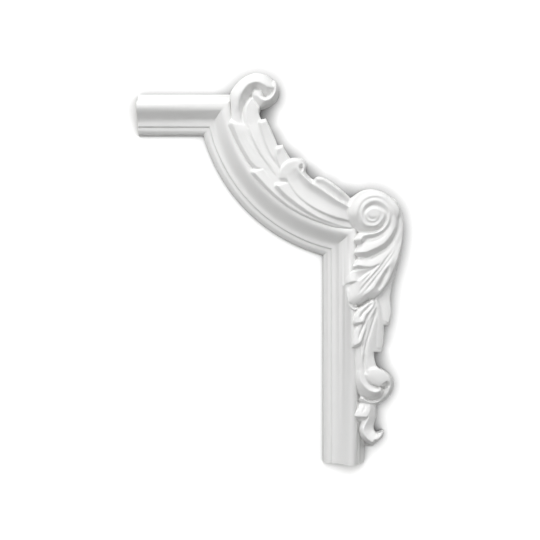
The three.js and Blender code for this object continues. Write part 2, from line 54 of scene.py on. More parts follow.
def addCamera(setup):
    data = bpy.data.cameras.new("camera")
    data.lens = setup["lens"]
    data.sensor_width = setup["sensor"]
    data.clip_start = setup["nearest"]
    camera = bpy.data.objects.new("camera", data)
    camera.location = (setup["x"], -setup["distance"], setup["z"])
    camera.rotation_euler = (math.pi / 2, 0, 0)
    bpy.context.collection.objects.link(camera)
    bpy.context.scene.camera = camera


addCamera(cameraSetup)
print("stage: camera set")


# Sizes in mm. The moulding's profile runs from its inner edge to its outer edge, each point
# given by its offset from the inner edge and its height above the wall.
moulding = {
    "width": 40.0,
    "armReach": 122.4,
    "legDrop": 263.8,
    "bendMidRadius": 149.2,
    "midLineInset": 24.2,
    "bendSteps": 96,
    "peakHeight": 18.0,
    "innerEdge": [[0, 0], [0, 1.9], [0.15, 2.6], [0.55, 3.5], [1.2, 4.3], [2.2, 5.2], [3.4, 6.1],
                  [4.3, 6.6]],
    "innerFlat": [[4.9, 6.72], [7.0, 6.75], [7.45, 6.85], [7.75, 7.25], [7.95, 7.8], [8.3, 8.15]],
    "bead": [[8.9, 8.3], [10.3, 8.3]],
    "coveStart": [11.0, 8.35],
    "peakOffset": 26.5,
    "shoulder": [33.0, 11.6],
    "shoulderFoot": [[33.05, 10.9], [33.2, 10.45], [33.5, 10.3]],
    "tread": [[34.7, 10.3], [35.3, 10.1], [35.75, 9.5], [36.05, 8.4], [36.3, 7.7], [36.7, 7.4]],
    "outerLip": [[39.3, 7.4], [39.8, 7.2], [40.0, 6.8], [40.0, 0]],
    "coveSteps": 18,
    "shoulderSteps": 12,
}
backing = 3.0  # behind the wall's face, cut away at the end
bendCentre = moulding["bendMidRadius"] * math.sqrt(0.5)


def mouldingProfile(m):
    points = m["innerEdge"] + m["innerFlat"] + m["bead"]
    startAt, startHeight = m["coveStart"]
    for i in range(m["coveSteps"] + 1):
        share = i / m["coveSteps"]
        rise = (1 - math.cos(math.pi * share)) / 2
        points = points + [[startAt + (m["peakOffset"] - startAt) * share,
                            startHeight + (m["peakHeight"] - startHeight) * rise]]
    endAt, endHeight = m["shoulder"]
    for i in range(1, m["shoulderSteps"] + 1):
        turn = math.pi / 2 * i / m["shoulderSteps"]
        points = points + [[m["peakOffset"] + (endAt - m["peakOffset"]) * math.sin(turn),
                            m["peakHeight"] - (m["peakHeight"] - endHeight) * (1 - math.cos(turn))]]
    points = points + m["shoulderFoot"] + m["tread"] + m["outerLip"]
    points[0] = [0, -backing]
    points[-1] = [m["width"], -backing]
    return points


# One point of the profile on one station: the arm's end, the bend, or the leg's end
def mouldingPoint(m, offset, height, station, stationCount):
    radius = m["bendMidRadius"] + m["width"] / 2 - offset
    lineInset = m["midLineInset"] + m["width"] / 2 - offset
    if station == 0:
        return [-m["armReach"], -height, bendCentre - lineInset]
    if station == stationCount - 1:
        return [bendCentre - lineInset, -height, -m["legDrop"]]
    mitreTurn = math.asin(lineInset / radius)
    turn = mitreTurn + (math.pi / 2 - 2 * mitreTurn) * (station - 1) / (stationCount - 3)
    return [bendCentre - radius * math.cos(turn), -height, bendCentre - radius * math.sin(turn)]


def meshObject(name, points, faces):
    mesh = bpy.data.meshes.new(name)
    mesh.from_pydata([tuple(p) for p in points], [], faces)
    mesh.update()
    thing = bpy.data.objects.new(name, mesh)
    bpy.context.collection.objects.link(thing)
    return thing


def faceOutward(thing):
    shape = bmesh.new()
    shape.from_mesh(thing.data)
    if shape.calc_volume(signed=True) < 0:
        bmesh.ops.reverse_faces(shape, faces=shape.faces[:])
    shape.to_mesh(thing.data)
    shape.free()


# Closed solid through rings of equal length, lengths in mm
def ringSolid(name, rings):
    size = len(rings[0])
    points = [[c / 1000 for c in p] for ring in rings for p in ring]
    faces = []
    for i in range(len(rings) - 1):
        for j in range(size):
            k = (j + 1) % size
            faces.append((i * size + j, i * size + k, (i + 1) * size + k, (i + 1) * size + j))
    faces.append(tuple(reversed(range(size))))
    faces.append(tuple(range((len(rings) - 1) * size, len(rings) * size)))
    thing = meshObject(name, points, faces)
    faceOutward(thing)
    return thing


def makeMoulding(m):
    profile = mouldingProfile(m)
    count = m["bendSteps"] + 3
    rings = []
    for station in range(count):
        rings.append([mouldingPoint(m, offset, height, station, count) for offset, height in profile])
    return ringSolid("moulding", rings)


mouldingObject = makeMoulding(moulding)
print("stage: moulding swept,", len(mouldingObject.data.polygons), "faces")


# The carving is laid out as a drawing in mm, x right and y down, as it looks from viewDistance
# in front of sightPoint, and worked out as a field of heights above the wall.
relief = {
    "window": [224.0, 68.0, 408.0, 454.0],
    "sightPoint": [270.0, 270.0],
    "viewDistance": 800.0,
    "drawnBendCentre": [367.2, 92.0],
    "gridStep": 0.5,
    "stripStations": 40,
    "acrossSteps": 10,
    "lineSteps": 60,
    "lineHeight": 20.0,  # of a line or dent that names no height
    "fadedWidth": 0.45,  # share of a line's width left where it fades out
    "borders": {"strip": 14, "line": 8, "dent": 2, "outline": 4},  # looked at round each
    "wallDrop": 9.0,  # a strip's side slopes down this far, then goes steeply
    "steepRun": 0.15,
    "softness": 0.55,
    "edgeRound": 1.3,
    "outlineHeight": 7.0,
    "outlineSpacing": 1.5,
    "outlineSpan": 12,  # spacings looked at together
    "brim": 1.6,  # kept past the outline until the cut
    "leastHeight": 0.2,
    "cutDepths": (-60, 10),  # from before the carving to behind the wall
    "sharpAngle": 42,  # degrees, smooth below it
}
far = 1e9
lowest = -30.0
windowLeft, windowTop, windowRight, windowBottom = relief["window"]
gridX = np.arange(windowLeft, windowRight, relief["gridStep"])
gridY = np.arange(windowTop, windowBottom, relief["gridStep"])
spotX, spotY = np.meshgrid(gridX, gridY)


def eased(t):
    return t * t * (3 - 2 * t)


def halfEased(t):
    return 0.5 * t * t * (3 - 2 * t) + 0.5 * t


# Smooth curve through the points, spaced evenly by length, or by point where paired
def smoothCurve(points, count, paired=False):
    p = np.array(points, float)
    if len(p) == 2:
        return p[0] + (p[1] - p[0]) * np.linspace(0, 1, count)[:, None]
    q = np.vstack([2 * p[0] - p[1], p, 2 * p[-1] - p[-2]])
    knots = np.r_[0, np.cumsum(np.sqrt(np.hypot(*np.diff(q, axis=0).T)))]
    chord = np.r_[0, np.cumsum(np.hypot(*np.diff(p, axis=0).T))]
    if paired:
        chord = np.arange(len(p), dtype=float)
    target = np.linspace(0, chord[-1], count)
    i = np.clip(np.searchsorted(chord, target, side="right") - 1, 0, len(p) - 2)
    f = ((target - chord[i]) / (chord[i + 1] - chord[i]))[:, None]
    k0, k1, k2, k3 = [knots[i + j][:, None] for j in range(4)]
    p0, p1, p2, p3 = [q[i + j] for j in range(4)]
    t = k1 + f * (k2 - k1)
    a1 = (k1 - t) / (k1 - k0) * p0 + (t - k0) / (k1 - k0) * p1
    a2 = (k2 - t) / (k2 - k1) * p1 + (t - k1) / (k2 - k1) * p2
    a3 = (k3 - t) / (k3 - k2) * p2 + (t - k2) / (k3 - k2) * p3
    b1 = (k2 - t) / (k2 - k0) * a1 + (t - k0) / (k2 - k0) * a2
    b2 = (k3 - t) / (k3 - k1) * a2 + (t - k1) / (k3 - k1) * a3
    return (k2 - t) / (k2 - k1) * b1 + (t - k1) / (k2 - k1) * b2


def spreadAlong(values, count):
    v = np.array(values, float)
    t = np.linspace(0, len(v) - 1, count)
    i = np.minimum(t.astype(int), len(v) - 2)
    f = halfEased((t - i)[:, None])
    return v[i] * (1 - f) + v[i + 1] * f


# Round crest or hollow between the edges, or a plain bow where the middle is no extreme
def heightsAcross(trio, across, crest):
    edgeA, middle, edgeB = trio[:, 0:1], trio[:, 1:2], trio[:, 2:3]
    u = across[None, :]
    nearA = edgeA + (middle - edgeA) * np.sin(math.pi / 2 * np.clip(u / crest, 0, 1))
    nearB = edgeB + (middle - edgeB) * np.sin(math.pi / 2 * np.clip((1 - u) / (1 - crest), 0, 1))
    arched = np.where(u <= crest, nearA, nearB)
    bowed = (edgeA * (u - crest) * (u - 1) / crest + middle * u * (u - 1) / (crest * (crest - 1))
             + edgeB * u * (u - crest) / (1 - crest))
    return np.where((middle - edgeA) * (middle - edgeB) > 0, arched, bowed)


# From the drawing to the wall plane, with the sight line taken out for a raised point
def wallSpot(points, heights):
    sight = np.array(relief["sightPoint"])
    return sight + (points - sight) * (1 - heights / relief["viewDistance"])[..., None]


# Rows and columns of the grid that hold the points and a border round them
def gridWindow(points, border):
    window = []
    for axis, start, size in ((1, windowTop, len(gridY)), (0, windowLeft, len(gridX))):
        first = (points[:, axis].min() - border - start) / relief["gridStep"]
        last = (points[:, axis].max() + border - start) / relief["gridStep"] + 2
        window.append(slice(int(max(0, first)), int(max(0, min(size, last)))))
    return tuple(window)


def raiseTo(field, window, height):
    field[window] = np.maximum(field[window], height)


# Distance to a line, with the place along it of the nearest point
def nearestOnLine(points, xs, ys):
    nearest = np.full(xs.shape, far)
    share = np.zeros(xs.shape)
    last = len(points) - 1
    for i in range(last):
        d = points[i + 1] - points[i]
        length = d @ d
        if length < 1e-12:
            continue
        t = np.clip(((xs - points[i][0]) * d[0] + (ys - points[i][1]) * d[1]) / length, 0, 1)
        away = np.hypot(xs - points[i][0] - t * d[0], ys - points[i][1] - t * d[1])
        closer = away < nearest
        nearest = np.where(closer, away, nearest)
        share = np.where(closer, (i + t) / last, share)
    return nearest, share


def insideOutline(points, xs, ys):
    inside = np.zeros(xs.shape, bool)
    for (ax, ay), (bx, by) in zip(points, np.roll(points, -1, axis=0)):
        if ay == by:
            continue
        crosses = (ay > ys) != (by > ys)
        inside ^= crosses & (xs < (bx - ax) * (ys - ay) / (by - ay) + ax)
    return inside


def fillTriangle(top, corners, heights):
    rows, columns = gridWindow(corners, 0)
    xs = gridX[columns][None, :]
    ys = gridY[rows][:, None]
    (ax, ay), (bx, by), (cx, cy) = corners
    area = (by - cy) * (ax - cx) + (cx - bx) * (ay - cy)
    if abs(area) < 1e-9 or xs.size == 0 or ys.size == 0:
        return
    wa = ((by - cy) * (xs - cx) + (cx - bx) * (ys - cy)) / area
    wb = ((cy - ay) * (xs - cx) + (ax - cx) * (ys - cy)) / area
    wc = 1 - wa - wb
    inside = (wa >= -1e-6) & (wb >= -1e-6) & (wc >= -1e-6)
    filled = wa * heights[0] + wb * heights[1] + wc * heights[2]
    raiseTo(top, (rows, columns), np.where(inside, filled, lowest))


# A strip is a leaf, band or rim between two drawn edges. Each of its stations is a point on
# edge A, a point on edge B, and the heights at A, midway and at B. Where the edges don't go in
# step, they are given as a and b. The four runs say how far the side at A, the side at B, the
# start and the end slope out for each mm down, and a run may change along its side.
def stripEdges(strip):
    if "stations" not in strip:
        return strip["a"], strip["b"], strip["heights"], False
    table = np.array(strip["stations"], float)
    return table[:, :2], table[:, 2:4], table[:, 4:], True


def addStrip(field, strip):
    count, steps = relief["stripStations"], relief["acrossSteps"]
    edgeA, edgeB, drawnHeights, paired = stripEdges(strip)
    trio = spreadAlong(drawnHeights, count)
    sideA = wallSpot(smoothCurve(edgeA, count, paired), trio[:, 0])
    sideB = wallSpot(smoothCurve(edgeB, count, paired), trio[:, 2])
    across = np.linspace(0, 1, steps)
    heights = heightsAcross(trio, across, strip.get("crest", 0.5))
    share = across[None, :, None]
    spots = sideA[:, None, :] * (1 - share) + sideB[:, None, :] * share
    top = np.full(field.shape, lowest)
    for i in range(count - 1):
        for j in range(steps - 1):
            corners = [(i, j), (i + 1, j), (i + 1, j + 1), (i, j + 1)]
            p = np.array([spots[c] for c in corners])
            h = [heights[c] for c in corners]
            fillTriangle(top, p[[0, 1, 2]], [h[0], h[1], h[2]])
            fillTriangle(top, p[[0, 2, 3]], [h[0], h[2], h[3]])
    window = gridWindow(spots.reshape(-1, 2), relief["borders"]["strip"])
    xs, ys = spotX[window], spotY[window]
    wall = np.full(xs.shape, lowest)
    closest = np.full(xs.shape, far)
    edges = [(sideA, trio[:, 0]), (sideB, trio[:, 2]), (spots[0], heights[0]), (spots[-1], heights[-1])]
    for (line, edgeHeights), run in zip(edges, strip["runs"]):
        away, share = nearestOnLine(line, xs, ys)
        edge = np.interp(share, np.linspace(0, 1, len(edgeHeights)), edgeHeights)
        run = np.interp(share, np.linspace(0, 1, len(np.atleast_1d(run))), np.atleast_1d(run))
        knee = run * relief["wallDrop"]
        steep = edge - relief["wallDrop"] - (away - knee) / relief["steepRun"]
        wall = np.where(away < closest, np.where(away <= knee, edge - away / run, steep), wall)
        closest = np.minimum(closest, away)
    raiseTo(field, window, np.where(top[window] > lowest, top[window], wall))


# A line cut into the carving (depth above 0) or raised on it (depth below 0), fading at its ends
def addLine(field, line):
    count = relief["lineSteps"]
    height = np.full(count, line.get("height", relief["lineHeight"]))
    spots = wallSpot(smoothCurve(line["points"], count), height)
    window = gridWindow(spots, relief["borders"]["line"])
    away, share = nearestOnLine(spots, spotX[window], spotY[window])
    fadeIn, fadeOut = line.get("fade", [0.3, 0.3])
    strength = eased(np.clip(share / fadeIn, 0, 1) * np.clip((1 - share) / fadeOut, 0, 1))
    width = line["width"] * (relief["fadedWidth"] + (1 - relief["fadedWidth"]) * strength)
    field[window] -= line["depth"] * strength * np.exp(-(away / width) ** 2)


# A soft dent inside a closed drawn line
def addPatch(field, patch):
    count = relief["lineSteps"]
    closed = smoothCurve(patch["points"] + [patch["points"][0]], count)
    spots = wallSpot(closed, np.full(count, patch.get("height", relief["lineHeight"])))
    window = gridWindow(spots, relief["borders"]["dent"])
    xs, ys = spotX[window], spotY[window]
    share = np.clip(nearestOnLine(spots, xs, ys)[0] / patch["rim"], 0, 1)
    field[window] -= np.where(insideOutline(spots, xs, ys), patch["depth"] * eased(share), 0)


def addDome(field, dome):
    centre = wallSpot(np.array(dome["centre"]), np.array(dome["rim"] + dome["rise"]))
    window = gridWindow(np.array([centre]), max(dome["half"]) + 1)
    turn = math.radians(dome["turn"])
    dx, dy = spotX[window] - centre[0], spotY[window] - centre[1]
    along = (dx * math.cos(turn) + dy * math.sin(turn)) / dome["half"][0]
    across = (dy * math.cos(turn) - dx * math.sin(turn)) / dome["half"][1]
    left = 1 - along * along - across * across
    height = dome["rim"] + dome["rise"] * np.sqrt(np.clip(left, 0, 1))
    raiseTo(field, window, np.where(left > 0, height, lowest))


def blurField(field, sigma):
    reach = math.ceil(3 * sigma)
    weights = np.exp(-0.5 * (np.arange(-reach, reach + 1) / sigma) ** 2)
    weights /= weights.sum()
    for axis in ("down", "across"):
        padded = np.pad(field, [(reach, reach), (0, 0)], mode="edge")
        field = sum(weight * padded[i:i + len(field)] for i, weight in enumerate(weights)).T
    return field


# Upper scroll and the leaves of the bend
bendStrips = {
    "scrollFloor": {"runs": [0.15, 0.15, 0.3, 0.15],
        "a": [[241, 118], [242, 100], [246, 89], [256, 84], [268, 85], [275, 91]],
        "b": [[260, 118], [261, 108.5], [268, 106], [274, 101], [277, 96], [277.5, 92]],
        "heights": [[15, 15, 15], [14.5, 14.5, 14]]},
    "scrollBand": {"runs": [0.15, 0.88, 0.5, 0.5], "stations": [
        [231.8, 124, 241.8, 124, 18, 18.3, 18.3], [231.2, 114, 239.6, 114, 18, 19, 19],
        [230.6, 104, 239, 104, 17, 20.6, 21.2], [230, 95, 240.4, 96, 16, 21.2, 23],
        [233.5, 87.2, 243.7, 89.6, 15, 21.2, 24], [240, 79.9, 248, 84.6, 15, 21.2, 24],
        [249, 74.3, 253.5, 82.2, 15, 21.2, 24], [257, 72.6, 258.5, 82, 15, 21.2, 24],
        [265, 74.4, 263.5, 84.2, 15, 21.2, 24], [272, 79.4, 267.2, 87, 15, 21.2, 23.2],
        [276.8, 86, 271.5, 88.5, 15, 20.5, 21.5]]},
    "curlOuter": {"runs": [3, 0.15, 0.5, 0.5], "stations": [
        [276.5, 80.5, 272.5, 83, 14, 18.6, 20.2], [278.6, 86, 275.3, 86.5, 14, 19.5, 22],
        [278.6, 92, 275.6, 91.5, 14, 20, 23], [276.3, 98, 273.6, 95.5, 14, 20, 23.2],
        [271.5, 103, 270, 99, 14.4, 20, 23.2], [265.5, 106.5, 265.5, 100.3, 15.4, 20, 23],
        [260.5, 108.8, 261, 98.6, 16.4, 19.6, 22], [255.5, 106, 257, 96.5, 17, 19, 20.8],
        [251.5, 101, 253, 96, 17, 18.3, 19.6]]},
    "curlInner": {"runs": [0.15, 0.4, 0.5, 0.5], "stations": [
        [275.5, 85, 273.3, 85, 22.5, 21.3, 19], [275.6, 91, 273.3, 90.6, 23.2, 21.6, 19],
        [273.6, 95.5, 271.5, 94, 23.2, 21.6, 18.8], [270, 99, 268.6, 96.6, 23.2, 21.6, 18.8],
        [265.5, 100.3, 265.3, 97.6, 23, 21.4, 18.8], [261, 98.6, 262, 95.6, 22, 20.8, 18.8],
        [257, 96.5, 258.8, 92, 21, 20.8, 19], [253, 96, 255, 89.8, 19.8, 20.4, 19.2]]},
    "neckLeft": {"runs": [0.7, 0.6, 0.5, 0.8], "stations": [
        [249.8, 98.6, 252, 98.8, 18.6, 19.4, 20.2], [246.4, 103, 248.4, 103.4, 18.2, 19.2, 20.1],
        [244.2, 110, 246.2, 110, 18.2, 19.1, 19.9], [244, 118, 246.2, 118, 18.7, 19.2, 19.6],
        [245.4, 127, 247.6, 126.8, 19.2, 19.3, 19.4]]},
    "neckChannel": {"runs": [0.6, 0.6, 0.9, 0.8], "stations": [
        [238.6, 108, 245, 108, 17, 15.8, 17.6], [239.2, 116, 245.4, 116, 18.2, 17, 18.6],
        [240.8, 124, 247, 124.5, 19.2, 18.2, 19], [244.4, 133, 250.4, 134, 19.6, 19, 19.2],
        [250, 145, 255.6, 146, 19.6, 19.4, 19.3]]},
    "neckRight": {"runs": [0.6, 3, 0.5, 0.5], "stations": [
        [251, 98.5, 259, 108.3, 20.2, 20, 19.4], [248, 104, 258.9, 110.6, 20, 19.9, 19.2],
        [246.2, 111, 259, 114.5, 19.7, 19.6, 18.8], [246.3, 119, 260, 119.8, 19.5, 19.4, 18.4],
        [248, 127, 262, 127, 19.4, 19.2, 18.6]]},
    "leafFirst": {"runs": [1.05, 0.6, 1, 0.5], "crest": 0.35, "stations": [
        [232.5, 123.4, 243.5, 124.2, 22.3, 20.4, 19.2], [235.6, 131, 250, 131, 21.8, 20.4, 19.8],
        [239.8, 141, 254.5, 141, 21, 20, 19.5], [245, 151, 260, 151, 20.6, 19.8, 19.4],
        [250.8, 160.5, 266, 161, 20.3, 19.7, 19.4], [256.5, 166.5, 271, 168, 20, 19.5, 19.3],
        [263, 169.5, 276, 174, 19, 19, 19]]},
    "leafSecond": {"runs": [0.5, 0.3, 0.5, 0.5], "stations": [
        [246, 108, 257.5, 110, 17.4, 17.6, 17], [246.3, 118, 260, 119.5, 19, 19, 18.2],
        [250.2, 131, 265.5, 131, 20.2, 19.7, 19], [254.2, 141, 268.5, 141, 20.8, 20, 19.3],
        [259, 151, 273, 151, 20.8, 20, 19.3], [265, 161, 278, 160, 20.6, 20, 19.4],
        [271, 169, 283, 168, 20.3, 20, 19.4], [279, 179, 289, 176, 19.8, 19.6, 19.4]]},
    "leafThird": {"runs": [0.6, 3.0, 0.9, 0.5], "stations": [
        [260.2, 122.5, 265.8, 120.9, 22.6, 22, 21.8], [262, 131, 270.3, 130, 21.6, 21, 20.6],
        [264.8, 141, 274, 139, 21, 20.4, 20], [269, 150.5, 277.5, 147.2, 20.6, 20.2, 20],
        [274, 160, 283, 157, 20.4, 20.2, 20], [280, 169, 288, 165, 20.2, 20, 20],
        [287, 178, 293, 172, 20, 20, 20]]},
    "leafFourth": {"runs": [0.6, 3.0, 0.9, 0.5], "stations": [
        [277, 148.8, 282.8, 147, 23, 22.2, 22], [276.3, 156, 285.6, 153, 22.3, 21.4, 21.5],
        [279, 165, 290, 160, 21.4, 21, 21], [284, 173, 296, 166, 20.8, 20.6, 20.8],
        [291, 181, 300, 172, 20.3, 20.3, 20.3]]},
    "leafWeb": {"runs": [0.5, 0.3, 0.5, 0.5],
        "a": [[258, 164], [266, 174], [274, 183], [284, 192]],
        "b": [[279, 166], [285, 174], [292, 182], [300, 192]],
        "heights": [[18.8, 19, 19.5], [19.5, 19.8, 20], [19.5, 20, 20]]},
    "leafLow": {"runs": [0.85, 0.3, 0.8, 1.2], "stations": [
        [253.5, 172, 263, 169, 21.5, 20.5, 20], [260, 178.7, 270, 177.5, 21.3, 20.3, 19.7],
        [270, 189.3, 278, 186, 21, 20, 19.4], [280, 198.3, 285, 193.5, 20.7, 19.7, 19],
        [290, 206, 293, 200.5, 20.5, 19.5, 18.8], [300, 212, 305, 209.5, 20.2, 19.2, 18.6],
        [310, 217, 318, 217.5, 20, 19, 18.5], [320, 221, 330, 222.5, 19.6, 18.9, 18.5],
        [332, 225.3, 340, 225.8, 19.2, 18.7, 18.2], [345, 228.6, 348.5, 227.8, 17.6, 17.2, 16.8]]},
    "leafMiddle": {"runs": [0.9, 0.3, 0.8, 1.2],
        "a": [
            [277.5, 185.5], [284, 192.5], [293, 200], [305, 209], [318, 217], [330, 222], [341, 225.8],
            [350.8, 228]],
        "b": [[288.3, 183], [295, 190], [304, 199], [314, 206], [325, 211.5], [337, 216], [349.5, 220.6]],
        "heights": [[23.5, 22.5, 21.5], [23, 21.5, 20.3], [21, 20.3, 19.5], [18, 17.8, 17.4]]},
    "leafBroad": {"runs": [0.6, 0.5, 0.4, 0.4], "crest": 0.6, "stations": [
        [289, 164, 297.5, 162, 23.4, 23.6, 23.6], [286, 170, 298.3, 166.5, 22.8, 23.4, 24.2],
        [286.4, 177.5, 300.5, 171.8, 22.6, 22, 24.7], [290, 184.5, 304.6, 176.6, 22.6, 21, 25],
        [295.5, 192.5, 310, 182, 22.5, 20.8, 25.1], [301.5, 198.6, 316, 186, 22.4, 20.7, 25],
        [309, 204.3, 324, 191, 22.4, 20.8, 25], [318, 209.6, 331, 195.8, 22.4, 21, 25],
        [329, 214.6, 338.5, 200.8, 22.3, 21.2, 24.6], [339, 218, 344.5, 204, 21.6, 21, 23.6],
        [348.5, 220.4, 349.5, 207, 20, 20, 21.5]]},
    "leafUpper": {"runs": [0.6, 1.6, 0.6, 0.6], "crest": 0.3, "stations": [
        [314, 183.5, 316.3, 179, 24.4, 23.8, 24.6], [320, 187.8, 322.6, 179.6, 24.8, 22.8, 25],
        [327.5, 193.6, 330.5, 184.2, 24.8, 22.5, 25], [336, 199.6, 339, 190.6, 24.3, 22.1, 24.3],
        [343, 204.1, 345.5, 196.2, 21.8, 20.4, 21.6], [350.2, 207.8, 350.5, 199.6, 18.6, 18, 18.6]]},
    "leafCurl": {"runs": [0.5, 1.2, 1.4, 0.5], "crest": 0.4, "stations": [
        [279.8, 178, 287.5, 178, 21.4, 22, 22.3], [279.8, 172, 287, 172.5, 21.8, 22.6, 22.6],
        [282, 166.5, 289, 168.5, 22.3, 23.1, 22.8], [286, 162.3, 291.5, 166.5, 22.7, 23.5, 23.2],
        [291, 160, 295.5, 166, 22.9, 23.7, 23.5], [296.5, 159.2, 299, 165.6, 22.9, 23.8, 23.8],
        [301.2, 160.3, 300.6, 165.3, 22.7, 23.6, 23.6]]},
    "leafCurlEnd": {"runs": [0.5, 0.4, 0.6, 0.6], "crest": 0.45, "stations": [
        [300, 159.8, 299.3, 163.4, 22.2, 23.4, 23.6], [304, 162.4, 301.6, 165, 21.4, 23, 23.4],
        [305.9, 166.8, 302.7, 168, 20.4, 22.6, 23], [305.3, 171.5, 302, 172.3, 19.6, 22, 22.6],
        [307, 175, 303.5, 176.2, 19, 21.8, 22.8]]},
}

